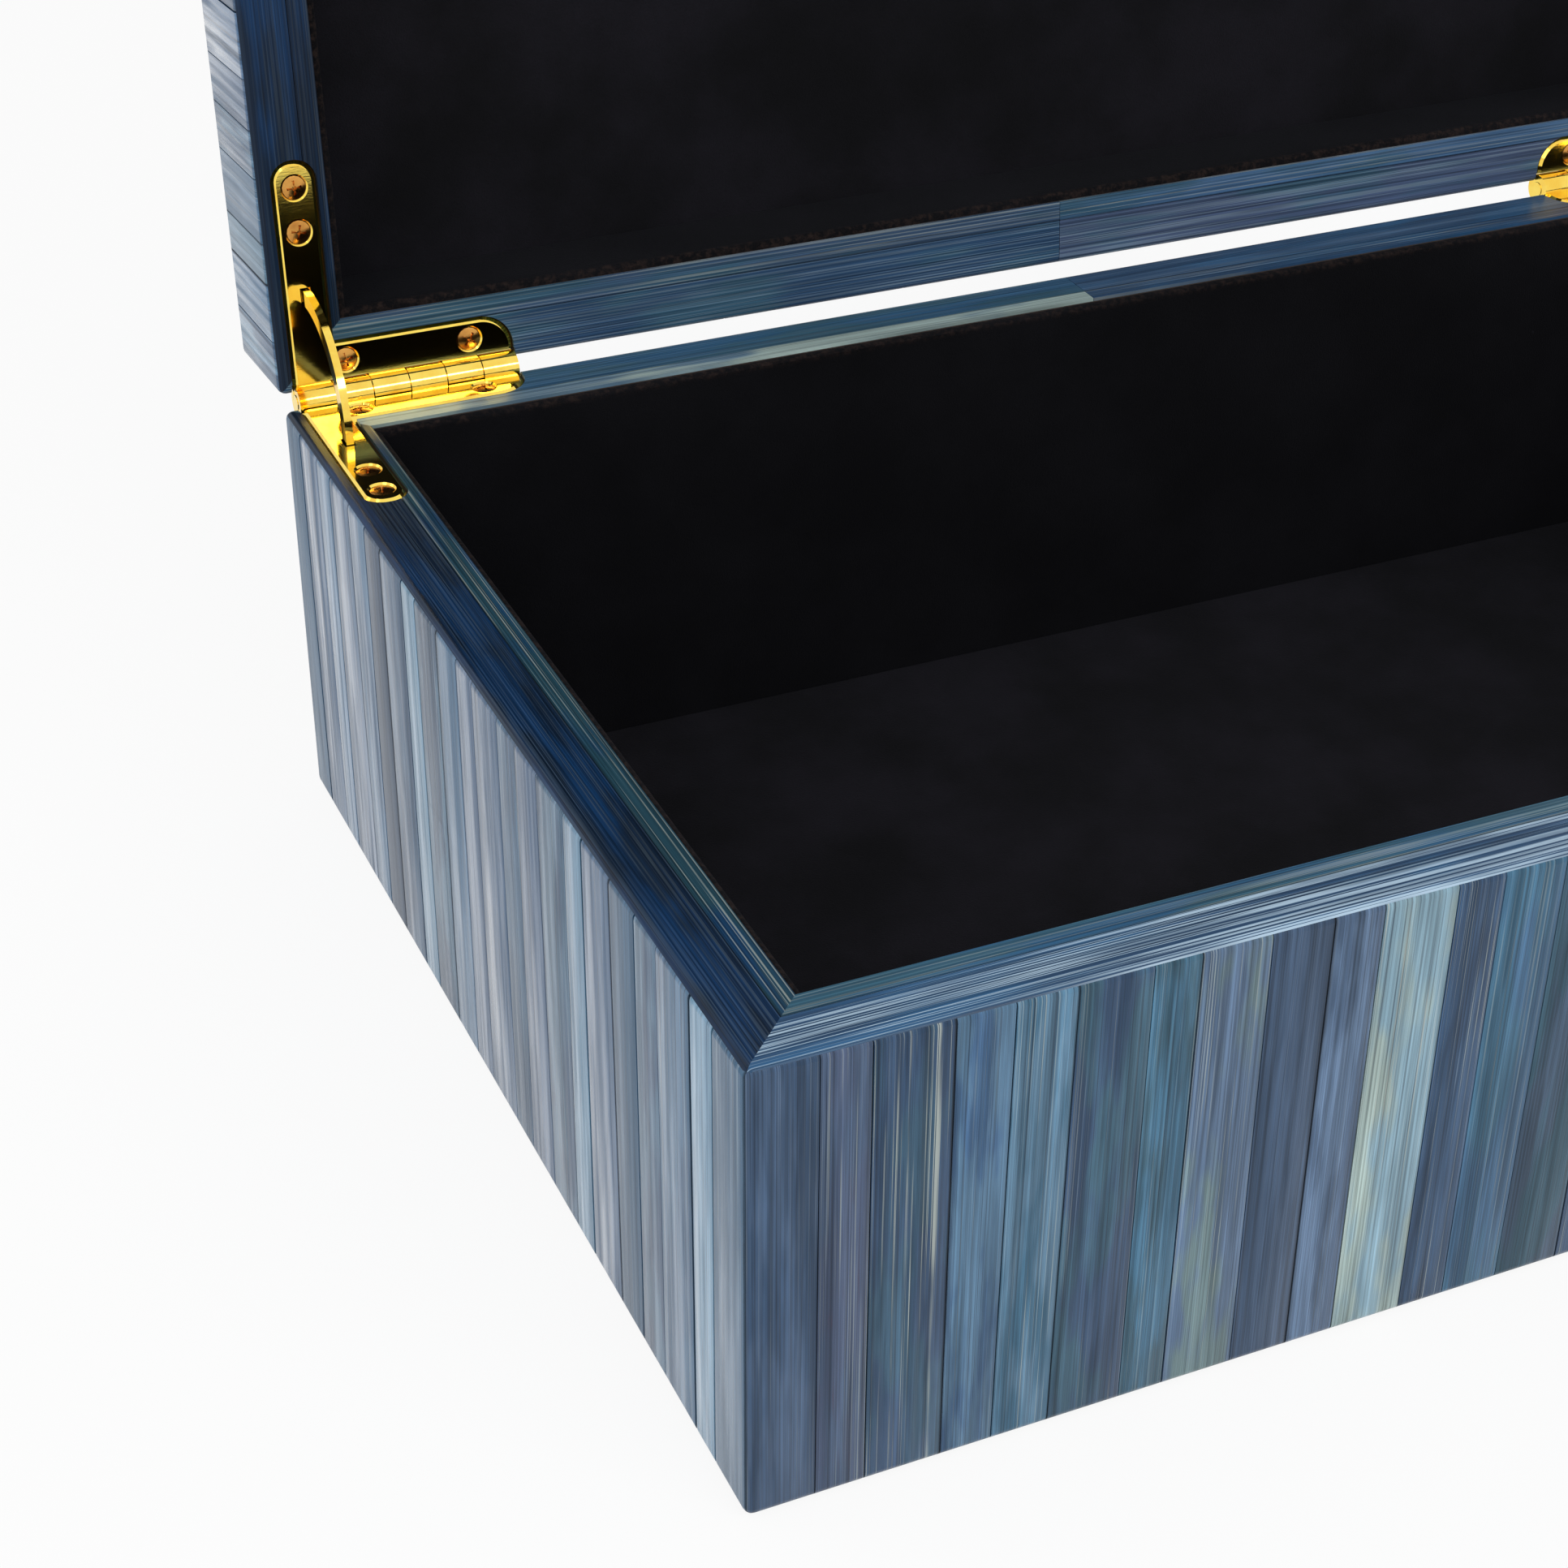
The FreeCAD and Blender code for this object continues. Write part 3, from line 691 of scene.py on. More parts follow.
@dataclass(frozen=True)
class BrassFinish:
    """Polished brass with slight clouding and fine rubbing marks."""

    name: str
    bright: Rgba
    deep: Rgba
    rough: float
    marks: float = 0.05
    cloud_scale: float = 0.22
    rub_scale: tuple[float, float, float] = (0.35, 2.4, 2.4)
    rub_height: float = 0.0001

    def material(self) -> bpy.types.Material:
        """The metal with its clouding and rubbing marks.

        Returns:
            The material.
        """
        bench, made = Bench.material(self.name)
        spot = bench.place()
        cloud = bench.noise(spot, self.cloud_scale, 3.0, 0.6)
        drawn = [part * scale for part, scale in zip(bench.parts(spot), self.rub_scale)]
        rub = bench.noise(bench.vector(*drawn), 1.0, 3.0, 0.7)
        colour = bench.mix(cloud.step(0.35, 0.75), self.bright, self.deep)
        rough = self.rough + cloud * self.marks + rub.step(0.55, 0.8) * self.marks
        bench.finish(
            Base_Color=colour, Metallic=1.0, Roughness=rough, Normal=bench.bump(rub, 0.04, self.rub_height),
        )
        return made


@dataclass(frozen=True)
class BoardFinish:
    """Dark-stained core board."""

    name: str = "core_board"
    dark: Rgba = display(38, 32, 30)
    light: Rgba = display(66, 56, 50)
    fibre_scale: float = 0.9
    fibre_height: float = 0.0003

    def material(self) -> bpy.types.Material:
        """The board with its pressed fibres.

        Returns:
            The material.
        """
        bench, made = Bench.material(self.name)
        spot = bench.place()
        fibre = bench.noise(spot, self.fibre_scale, 4.0, 0.7)
        colour = bench.mix(fibre, self.dark, self.light)
        raised = bench.bump(fibre, 0.3, self.fibre_height)
        bench.finish(Base_Color=colour, Roughness=0.7 + fibre * 0.2, Normal=raised)
        return made


@dataclass(frozen=True)
class FeltFinish:
    """Black pressed felt."""

    name: str = "base_felt"
    dark: Rgba = display(14, 14, 16)
    light: Rgba = display(40, 40, 44)
    mat_scale: float = 1.6
    mat_height: float = 0.0004

    def material(self) -> bpy.types.Material:
        """The felt with its matted fibres.

        Returns:
            The material.
        """
        bench, made = Bench.material(self.name)
        spot = bench.place()
        mat = bench.noise(spot, self.mat_scale, 5.0, 0.75)
        colour = bench.mix(mat.step(0.3, 0.7), self.dark, self.light)
        raised = bench.bump(mat, 0.6, self.mat_height)
        bench.finish(Base_Color=colour, Roughness=0.95, Specular_IOR_Level=0.15, Normal=raised)
        return made


class Stock:
    """A workpiece that is sawn, rounded and then set in its place."""

    merge_within: float = 1e-3
    cut_within: float = 1e-5
    sharp_above: float = 40.0

    def __init__(self, mesh: Optional[bmesh.types.BMesh] = None) -> None:
        """Take over a mesh, or start an empty one."""
        self.mesh = mesh or bmesh.new()

    @classmethod
    def block(cls, low: Sequence[float], high: Sequence[float]) -> "Stock":
        """A block between two corners.

        Args:
            low: The lowest corner.
            high: The highest one.

        Returns:
            The workpiece.
        """
        made = cls()
        size = [top - bottom for bottom, top in zip(low, high)]
        middle = [(top + bottom) / 2 for bottom, top in zip(low, high)]
        place = Matrix.Translation(middle) @ Matrix.Diagonal((*size, 1.0))
        bmesh.ops.create_cube(made.mesh, size=1.0, matrix=place)
        return made

    @classmethod
    def turned(cls, profile: Sequence[tuple[float, float]], steps: int) -> "Stock":
        """A shape turned about the upright axis.

        Args:
            profile: Radius and height of each point of its outline, from axis to axis.
            steps: Facets round the axis.

        Returns:
            The workpiece.
        """
        made = cls()
        spots = [made.mesh.verts.new((radius, 0.0, height)) for radius, height in profile]
        line = [made.mesh.edges.new(pair) for pair in zip(spots, spots[1:])]
        bmesh.ops.spin(
            made.mesh, geom=[*spots, *line], cent=(0, 0, 0), axis=(0, 0, 1), dvec=(0, 0, 0),
            angle=2 * math.pi, steps=steps, use_merge=True, use_duplicate=False,
        )
        return made.clean()

    def clean(self) -> "Stock":
        """Merge points that lie on one another, drop what has no area, and turn all faces outward.

        Returns:
            This workpiece.
        """
        bmesh.ops.remove_doubles(self.mesh, verts=self.mesh.verts, dist=self.merge_within)
        bmesh.ops.dissolve_degenerate(self.mesh, edges=self.mesh.edges, dist=self.merge_within)
        bmesh.ops.recalc_face_normals(self.mesh, faces=self.mesh.faces)
        return self

    def copy(self) -> "Stock":
        """A second workpiece of the same shape."""
        return Stock(self.mesh.copy())

    def round(self, radius: float, segments: int, wanted: Optional[EdgeTest] = None) -> "Stock":
        """Round edges.

        Args:
            radius: Of the rounding.
            segments: Facets of the rounding.
            wanted: Test that picks the edges; all of them without one.

        Returns:
            This workpiece.
        """
        edges = [edge for edge in self.mesh.edges if wanted is None or wanted(edge)]
        bmesh.ops.bevel(
            self.mesh, geom=edges, offset=radius, offset_type="OFFSET", affect="EDGES",
            segments=segments, profile=0.5, material=-1, clamp_overlap=True,
        )
        return self

    def saw(self, point: Sequence[float], away: Sequence[float]) -> "Stock":
        """Cut off what lies beyond a plane and close the cut.

        Args:
            point: A point of the plane.
            away: Direction of the waste.

        Returns:
            This workpiece.
        """
        everything = [*self.mesh.verts, *self.mesh.edges, *self.mesh.faces]
        cut = bmesh.ops.bisect_plane(
            self.mesh, geom=everything, dist=self.cut_within, plane_co=point, plane_no=away, clear_outer=True,
        )
        rim = [item for item in cut["geom_cut"] if isinstance(item, bmesh.types.BMEdge)]
        if rim:
            bmesh.ops.edgeloop_fill(self.mesh, edges=rim)
        return self

    def add(self, other: "Stock") -> range:
        """Put another workpiece beside this one in the same mesh.

        Args:
            other: The other workpiece, which is used up.

        Returns:
            The run of its vertices in this mesh.
        """
        first = len(self.mesh.verts)
        carrier = bpy.data.meshes.new("carrier")
        other.mesh.to_mesh(carrier)
        self.mesh.from_mesh(carrier)
        bpy.data.meshes.remove(carrier)
        other.mesh.free()
        self.mesh.verts.ensure_lookup_table()
        return range(first, len(self.mesh.verts))

    def piece(self, name: str, shell: Shell, material: bpy.types.Material) -> bpy.types.Object:
        """Turn the workpiece into an object in its place at rest.

        Args:
            name: The piece's name.
            shell: The shell that it rides on.
            material: Its finish.

        Returns:
            The object, at the origin.
        """
        bmesh.ops.recalc_face_normals(self.mesh, faces=self.mesh.faces)
        place = Matrix.Diagonal((MM, MM, MM, 1.0))
        if shell is Shell.LID:
            place = HINGE.opened() @ place
        bmesh.ops.transform(self.mesh, matrix=place, verts=self.mesh.verts)
        for face in self.mesh.faces:
            face.smooth = True
        for edge in self.mesh.edges:
            edge.smooth = edge.calc_face_angle(math.pi) < math.radians(self.sharp_above)
        mesh = bpy.data.meshes.new(name)
        self.mesh.to_mesh(mesh)
        self.mesh.free()
        mesh.materials.append(material)
        made = bpy.data.objects.new(name, mesh)
        bpy.context.scene.collection.objects.link(made)
        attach(made, shell.value)
        log.info("%s: %d faces", name, len(mesh.polygons))
        return made


def envelope(shell: Shell) -> Stock:
    """The outside of a shell as one block with rounded edges.

    Args:
        shell: The shell.

    Returns:
        The block.
    """
    low, high = SIZES.heights(shell)
    corner = (SIZES.half(0), SIZES.half(1))
    block = Stock.block((-corner[0], -corner[1], low), (*corner, high))
    return block.round(SIZES.edge_round, SIZES.edge_facets)


def unit(axis: int, length: Number = 1) -> Vector:
    """Vector along one axis.

    Args:
        axis: Index of the axis.
        length: Its length, negative towards the axis's low end.

    Returns:
        The vector.
    """
    made = Vector((0.0, 0.0, 0.0))
    made[axis] = length
    return made


def runs_along(edge: bmesh.types.BMEdge, axis: int, least: float) -> bool:
    """Whether an edge runs along an axis, at most a little aslant, for more than some length.

    Args:
        edge: The edge.
        axis: Index of the axis.
        least: The length.

    Returns:
        Whether it does.
    """
    run = edge.verts[0].co - edge.verts[1].co
    return abs(run[axis]) > max(least, ALONG_SHARE * run.length)


@dataclass(frozen=True)
class StripLook:
    """How one strip looks: its dye, the dye of its clouds, and its shares of pale hairs, clouds and rust."""

    tone: Tone
    cloud: Tone
    hairs: float
    clouds: float
    rust: float = 0.0


@dataclass(frozen=True)
class StripOrder:
    """Which looks a row of strips shows: some by name from its first strip on, and the rest at random."""

    named: tuple[StripLook, ...]
    others: tuple[Tone, ...]
    seed: int
    most_hairs: float
    clouds: tuple[float, float] = (0.2, 0.9)
    rust: float = 0.4
    rusty_share: float = 0.15

    def looks(self, count: int) -> list[StripLook]:
        """The look of each strip in a row.

        Args:
            count: How many strips the row has.

        Returns:
            Their looks in order.
        """
        chance = random.Random(self.seed)
        made = list(self.named[:count])
        while len(made) < count:
            tone = chance.choice([other for other in self.others if not made or other is not made[-1].tone])
            cloud = chance.choice(self.others)
            rust = self.rust if chance.random() < self.rusty_share else 0.0
            hairs = self.most_hairs * chance.random() ** 2
            made.append(StripLook(tone, cloud, hairs, chance.uniform(*self.clouds), rust))
        return made


@dataclass(frozen=True)
class BarrelRoom:
    """A stretch of a row whose strips end at a level, to leave room for a hinge barrel."""

    low: float
    high: float
    level: float
    waste: int


@dataclass(frozen=True)
class StripRow:
    """A row of straw strips on one face of a shell, cut from a slab of that face."""

    across: int
    along: int
    half_length: float
    order: StripOrder
    wide_seam: float
    rooms: tuple[BarrelRoom, ...] = ()
    lean: float = 0.45
    narrow_seam: float = 0.07
    edge_break: float = 0.14
    break_facets: int = 2
    shortest_share: float = 0.8
    number_step: float = 17.31

    @property
    def count(self) -> int:
        """How many strips fill the row."""
        return round(2 * self.half_length / SIZES.strip_width)

    def edge(self, index: int) -> float:
        """Where the seam before a strip lies along the row.

        Args:
            index: Number of the strip.

        Returns:
            The seam's place, in millimetres.
        """
        inner = 0 < index < self.count
        wander = SIZES.strip_wander * math.sin(math.radians(SIZES.strip_turn * index)) if inner else 0.0
        return 2 * self.half_length * (index + wander) / self.count - self.half_length

    def build(self, slab: Stock, middle: float) -> Stock:
        """Cut a slab into strips and note on each point where it lies on its strip.

        Args:
            slab: The face's veneer in one piece.
            middle: Place half-way along the strips, where the seams' places hold.

        Returns:
            All the strips in one mesh.
        """
        chance = random.Random(self.order.seed + 1)
        edges = range(self.count + 1)
        ends = (0, self.count)
        leans = [0.0 if edge in ends else math.radians(chance.uniform(-1, 1) * self.lean) for edge in edges]
        seams = [self.narrow_seam + self.wide_seam * chance.random() ** 3 for _ in edges]
        row = Stock()
        runs = []
        for index in range(self.count):
            strip = slab.copy()
            for edge, sign in ((index, -1), (index + 1, 1)):
                if edge in ends:
                    continue
                tilt = unit(self.across, math.cos(leans[edge])) + unit(self.along, math.sin(leans[edge]))
                spot = unit(self.across, self.edge(edge) - sign * seams[edge] / 2) + unit(self.along, middle)
                strip.saw(spot, tilt * sign)
            for solid in self.trimmed(strip):
                self.break_edges(solid)
                runs.append((index, row.add(solid)))
        self.note(row, runs, leans, middle)
        slab.mesh.free()
        return row

    def trimmed(self, strip: Stock) -> list[Stock]:
        """Part and shorten a strip where a hinge barrel needs room.

        Args:
            strip: The whole strip.

        Returns:
            What is left of it.
        """
        solids = [strip]
        for room in self.rooms:
            parted = []
            for solid in solids:
                spots = [vert.co[self.across] for vert in solid.mesh.verts]
                if max(spots) <= room.low or min(spots) >= room.high:
                    parted.append(solid)
                    continue
                if min(spots) < room.low:
                    parted.append(solid.copy().saw(unit(self.across, room.low), unit(self.across)))
                    solid.saw(unit(self.across, room.low), unit(self.across, -1))
                if max(spots) > room.high:
                    parted.append(solid.copy().saw(unit(self.across, room.high), unit(self.across, -1)))
                    solid.saw(unit(self.across, room.high), unit(self.across))
                parted.append(solid.saw(unit(self.along, room.level), unit(self.along, room.waste)))
            solids = parted
        return solids

    def break_edges(self, strip: Stock) -> None:
        """Soften the long edges of a strip, so that each seam shows as a fine groove.

        Args:
            strip: The strip, or a part of one.
        """
        shortest = self.shortest_share * SIZES.strip_width
        strip.mesh.normal_update()
        strip.round(self.edge_break, self.break_facets, lambda edge: runs_along(edge, self.along, shortest))
        strip.clean()

    def note(
        self, row: Stock, runs: Sequence[tuple[int, range]], leans: Sequence[float], middle: float,
    ) -> None:
        """Write each point's place on its strip and its strip's look.

        Args:
            row: All the strips in one mesh.
            runs: The number and the run of vertices of each strip, or of each part of one.
            leans: How far each seam leans.
            middle: Place half-way along the strips.
        """
        straw = row.mesh.verts.layers.float_vector.new("straw")
        marks = row.mesh.verts.layers.float_vector.new("marks")
        tone = row.mesh.verts.layers.float_color.new("tone")
        cloud = row.mesh.verts.layers.float_color.new("cloud")
        row.mesh.verts.ensure_lookup_table()
        looks = self.order.looks(self.count)
        for index, run in runs:
            look = looks[index]
            number = index * self.number_step + self.order.seed
            for vert in (row.mesh.verts[spot] for spot in run):
                off = vert.co[self.along] - middle
                left = self.edge(index) - math.tan(leans[index]) * off
                right = self.edge(index + 1) - math.tan(leans[index + 1]) * off
                share = (vert.co[self.across] - left) / (right - left)
                vert[straw] = (share, vert.co[self.along] * MM, number)
                vert[marks] = (look.hairs, look.clouds, look.rust)
                vert[tone] = look.tone.colour
                vert[cloud] = look.cloud.colour


@dataclass(frozen=True)
class StrawKind:
    """A straw finish, with the dyes, the pale hairs and the seams of the rows that wear it."""

    finish: StrawFinish
    dyes: tuple[Tone, ...]
    most_hairs: float
    wide_seam: float


@dataclass
class StrawSkin:
    """Straw strips over the outside of both shells."""

    first_seed: int = 11
    shell_step: int = 40
    side_step: int = 7
    top_seed: int = 131
    top_lean: float = 0.25
    blue: StrawKind = StrawKind(
        StrawFinish("blue_straw"),
        (
            Tone.SLATE, Tone.VIOLET, Tone.TEAL, Tone.DENIM, Tone.STEEL, Tone.SEA, Tone.LAVENDER, Tone.NAVY,
            Tone.DENIM, Tone.SLATE, Tone.SEA,
        ),
        most_hairs=0.8, wide_seam=0.3,
    )
    pale: StrawKind = StrawKind(
        StrawFinish(
            "pale_straw", depth=0.8, shine=0.75, hair_tone=Tone.FROST, gloss=0.32, fibre_share=0.25,
            own_share=0.95, streak_share=0.6, seam_width=0.5,
        ),
        (Tone.SILVER, Tone.PEARL, Tone.ASH, Tone.SILVER, Tone.DUSK, Tone.ASH),
        most_hairs=0.45, wide_seam=0.5,
    )
    in_sight: tuple[StripLook, ...] = (
        StripLook(Tone.NAVY, Tone.SLATE, 0.08, 0.6),
        StripLook(Tone.VIOLET, Tone.SLATE, 0.4, 0.7, 0.4),
        StripLook(Tone.NAVY, Tone.TEAL, 0.7, 0.6),
        StripLook(Tone.DENIM, Tone.STEEL, 0.2, 0.7),
        StripLook(Tone.SEA, Tone.STEEL, 0.5, 0.9),
        StripLook(Tone.NAVY, Tone.TEAL, 0.2, 0.9),
        StripLook(Tone.TEAL, Tone.SEA, 0.25, 1.0, 0.2),
        StripLook(Tone.LAVENDER, Tone.SAGE, 0.45, 0.9),
        StripLook(Tone.SLATE, Tone.NAVY, 0.05, 0.4),
        StripLook(Tone.LAVENDER, Tone.SLATE, 0.1, 0.9),
        StripLook(Tone.MIST, Tone.PEARL, 0.6, 0.6),
    )

    def __post_init__(self) -> None:
        """Make the two straw materials."""
        self.materials = {kind: kind.finish.material() for kind in (self.blue, self.pale)}

    def build(self) -> None:
        """Build and dress every row."""
        for number, shell in enumerate(Shell):
            shell_seed = self.first_seed + self.shell_step * number
            for step, side in enumerate(Side):
                self.build_side(shell, side, shell_seed + self.side_step * step)
        self.build_top()

    def build_side(self, shell: Shell, side: Side, seed: int) -> None:
        """Build one side's row.

        Args:
            shell: The shell that it covers.
            side: The side of that shell.
            seed: Seed of its strips' dyes and leans.
        """
        at_end = side.axis == 0
        kind = self.pale if at_end else self.blue
        named = self.in_sight if (shell, side) == (Shell.BASE, Side.FRONT) else ()
        order = StripOrder(named, kind.dyes, seed, kind.most_hairs)
        half = SIZES.half(side.across) - (SIZES.veneer if at_end else 0.0)
        rooms = self.rooms(shell) if side is Side.BACK else ()
        row = StripRow(side.across, 2, half, order, kind.wide_seam, rooms)
        slab, middle = self.side_slab(shell, side, half)
        made = row.build(slab, middle).piece(f"{shell.value}_{side.label}_straw", shell, self.materials[kind])
        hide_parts(f"{shell.value}_{side.label}_strips")

    @staticmethod
    def side_slab(shell: Shell, side: Side, half: float) -> tuple[Stock, float]:
        """One side's veneer in one piece.

        Args:
            shell: The shell that it covers.
            side: The side of that shell.
            half: Half of the row's length.

        Returns:
            The veneer, and the level half-way up it.
        """
        slab = envelope(shell)
        face = SIZES.half(side.axis)
        slab.saw(unit(side.axis, side.sign * (face - SIZES.veneer)), unit(side.axis, -side.sign))
        low, high = SIZES.heights(shell)
        high -= SIZES.veneer
        if shell is Shell.LID:
            low += SIZES.veneer
            slab.saw((0, 0, low), (0, 0, -1))
        slab.saw((0, 0, high), (0, 0, 1))
        if half < SIZES.half(side.across):
            for sign in (-1, 1):
                slab.saw(unit(side.across, sign * half), unit(side.across, sign))
        return slab, (low + high) / 2

    @staticmethod
    def rooms(shell: Shell) -> tuple[BarrelRoom, BarrelRoom]:
        """Where the back strips of a shell give way to the hinge barrels.

        Args:
            shell: The shell.

        Returns:
            The rooms for the left and the right barrel.
        """
        setback = HINGE.point[1] / MM - SIZES.half(1)
        reach = math.sqrt(SIZES.barrel_room ** 2 - setback ** 2)
        near, far = SIZES.barrel_span
        waste = 1 if shell is Shell.BASE else -1
        level = HINGE.point[2] / MM - waste * reach
        return BarrelRoom(-far, -near, level, waste), BarrelRoom(near, far, level, waste)

    def build_top(self) -> None:
        """Build the row on the lid's top."""
        slab = envelope(Shell.LID)
        slab.saw((0, 0, SIZES.lid_top - SIZES.veneer), (0, 0, -1))
        order = StripOrder((), self.blue.dyes, self.top_seed, self.blue.most_hairs)
        row = StripRow(0, 1, SIZES.half(0), order, self.blue.wide_seam, lean=self.top_lean)
        made = row.build(slab, 0.0).piece("lid_top_straw", Shell.LID, self.materials[self.blue])
        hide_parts("lid_top_strips")


@dataclass(frozen=True)
class StrawRims:
    """Straw along the rims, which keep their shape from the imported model."""

    base_front: RimLook = RimLook((Tone.NAVY, Tone.NAVY), (Tone.TEAL, Tone.SEA), 0.88, 0.3, Tone.ASH)
    base_back: RimLook = RimLook((Tone.TEAL, Tone.NAVY), (Tone.MIST, Tone.NAVY), 0.12, 0.3, Tone.ASH)
    base_end: RimLook = RimLook((Tone.INK, Tone.INK), (Tone.PINE, Tone.PINE), 0.06, 0.45, Tone.ROYAL)
    lid_front: RimLook = RimLook((Tone.DENIM, Tone.SLATE), (Tone.SEA, Tone.STEEL), 0.4, 0.3, Tone.NAVY)
    lid_back: RimLook = RimLook((Tone.NAVY, Tone.VIOLET), (Tone.SLATE, Tone.DUSK), 0.25, 0.35, Tone.TEAL)
    lid_end: RimLook = RimLook((Tone.INK, Tone.INK), (Tone.INK, Tone.NAVY), 0.03, 0.06, Tone.ROYAL)

    def look(self, shell: Shell, side: Side) -> RimLook:
        """The look of one rim; those of the left and the right end are alike."""
        return getattr(self, f"{shell.value}_{'end' if side.axis == 0 else side.label}")

    def dress(self) -> None:
        """Give each rim its straw."""
        for shell in Shell:
            for side in Side:
                finish = RimFinish(shell, side, self.look(shell, side))
                wear(f"{shell.value}_{side.label}_rim", finish.material())


def wear(node: str, material: bpy.types.Material) -> None:
    """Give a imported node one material.

    Args:
        node: The node's name.
        material: Its finish.
    """
    mesh = frame["nodes"][node].data
    mesh.materials.clear()
    mesh.materials.append(material)
    log.info("%s: %s", node, material.name)


@dataclass
class Lining:
    """Velvet over the inside of both shells."""

    sheet_cuts: int = 40
    wall_cuts: int = 6
    shortest_cut: float = 10.0
    face_within: float = 1e-3
    ripple: float = 0.1
    bend: float = 1.3
    bend_pitch: float = 0.031
    long_pitch: float = 0.043
    cross_pitch: float = 0.067
    skew_pitch: float = 0.019
    lip_share: float = 0.55
    lip_facets: int = 3
    # One cloth in two tones: the walls' darker with painted shade, the floor's lighter with painted light.
    shaded_wall_tones: tuple[Rgba, Rgba] = (display(5, 5, 8), display(13, 13, 17))
    lit_floor_tones: tuple[Rgba, Rgba] = (display(12, 12, 15), display(25, 24, 30))

    def __post_init__(self) -> None:
        """Make the velvets of one cloth: the walls' darker, as painted shade, and the floor's slightly
        lighter, as painted light.
        """
        self.walls = {}
        for shell in Shell:
            lip = self.levels(shell)[0]
            self.walls[shell] = VelvetFinish(
                f"{shell.value}_wall_velvet", *self.shaded_wall_tones, shell, lip,
            ).material()
        self.floors = {
            shell: VelvetFinish(f"{shell.value}_floor_velvet", *self.lit_floor_tones, shell).material()
            for shell in Shell
        }

    def build(self) -> None:
        """Build and dress every sheet."""
        for shell in Shell:
            for side in Side:
                self.build_wall(shell, side)
            self.build_floor(shell)

    @staticmethod
    def levels(shell: Shell) -> tuple[float, float, float]:
        """Levels in a shell's lining.

        Args:
            shell: The shell.

        Returns:
            The levels of the walls' free edge, of the floor sheet's face and of that sheet's back.
        """
        if shell is Shell.BASE:
            back = SIZES.felt + SIZES.base_panel
            return SIZES.base_top - SIZES.lining_drop, back + SIZES.lining, back
        back = SIZES.lid_top - SIZES.veneer - SIZES.lid_panel
        return SIZES.lid_bottom + SIZES.lining_drop, back - SIZES.lining, back

    def build_wall(self, shell: Shell, side: Side) -> None:
        """Build one wall's sheet, mitred at its ends.

        Args:
            shell: The shell that it lines.
            side: The side of that shell.
        """
        lip, face, _ = self.levels(shell)
        outer = SIZES.half(side.axis) - SIZES.wall
        inner = outer - SIZES.lining
        length = SIZES.half(side.across) - SIZES.wall
        low = [0.0, 0.0, min(lip, face)]
        high = [0.0, 0.0, max(lip, face)]
        low[side.axis], high[side.axis] = sorted((side.sign * outer, side.sign * inner))
        low[side.across], high[side.across] = -length, length
        sheet = Stock.block(low, high)

        def at_lip(edge: bmesh.types.BMEdge) -> bool:
            """Whether an edge is the sheet's free edge towards the inside.

            Args:
                edge: The edge.

            Returns:
                Whether it is.
            """
            middle = (edge.verts[0].co + edge.verts[1].co) / 2
            at_height = abs(middle.z - lip) < self.face_within
            return at_height and abs(middle[side.axis] - side.sign * inner) < self.face_within

        sheet.round(SIZES.lining * self.lip_share, self.lip_facets, at_lip)
        for sign in (-1, 1):
            point = unit(side.across, sign * length) + unit(side.axis, side.sign * outer)
            sheet.saw(point, unit(side.across, sign) + unit(side.axis, -side.sign))
        self.soften(sheet, side.axis, side.sign * inner, -side.sign, side.across, 2)
        made = sheet.piece(f"{shell.value}_{side.label}_velvet", shell, self.walls[shell])
        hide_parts(f"{shell.value}_{side.label}_lining")
        flat = (2 * length * MM, abs(lip - face) * MM)

    def build_floor(self, shell: Shell) -> None:
        """Build the sheet on a shell's panel.

        Args:
            shell: The shell that it lines.
        """
        _, face, back = self.levels(shell)
        reach = [SIZES.half(axis) - SIZES.wall for axis in (0, 1)]
        sheet = Stock.block((-reach[0], -reach[1], min(face, back)), (*reach, max(face, back)))
        self.soften(sheet, 2, face, 1 if face > back else -1, 0, 1)
        name = "base_floor_velvet" if shell is Shell.BASE else "lid_top_velvet"
        made = sheet.piece(name, shell, self.floors[shell])
        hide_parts(name.replace("velvet", "lining"))
        2 * reach[0] * MM
        2 * reach[1] * MM

    def soften(self, sheet: Stock, axis: int, face: float, outward: int, first: int, second: int) -> None:
        """Divide a sheet and let its face wave a little, as cloth over a board does.

        Args:
            sheet: The sheet.
            axis: Axis that its face looks along.
            face: Place of the face on that axis.
            outward: Sign of the direction that it faces.
            first: Axis of its length.
            second: Axis of its breadth.
        """
        second_cuts = self.wall_cuts if second == 2 else self.sheet_cuts
        for run, cuts in ((first, self.sheet_cuts), (second, second_cuts)):
            long = [edge for edge in sheet.mesh.edges if runs_along(edge, run, self.shortest_cut)]
            bmesh.ops.subdivide_edges(sheet.mesh, edges=long, cuts=cuts, use_grid_fill=True)
        for vert in sheet.mesh.verts:
            if abs(vert.co[axis] - face) < self.face_within:
                wave = self.wave(vert.co[first], vert.co[second])
                vert.co[axis] -= outward * self.ripple * (1.0 - wave / 2.0) / 2.0

    def wave(self, first: float, second: float) -> float:
        """Height of the cloth's slow waves, from -2 to 2.

        Args:
            first: Place along the sheet in millimetres.
            second: Place across it.

        Returns:
            The height.
        """
        bend = self.bend * math.sin(second * self.bend_pitch)
        along = math.sin(first * self.long_pitch + bend)
        return along + math.sin(second * self.cross_pitch + first * self.skew_pitch)


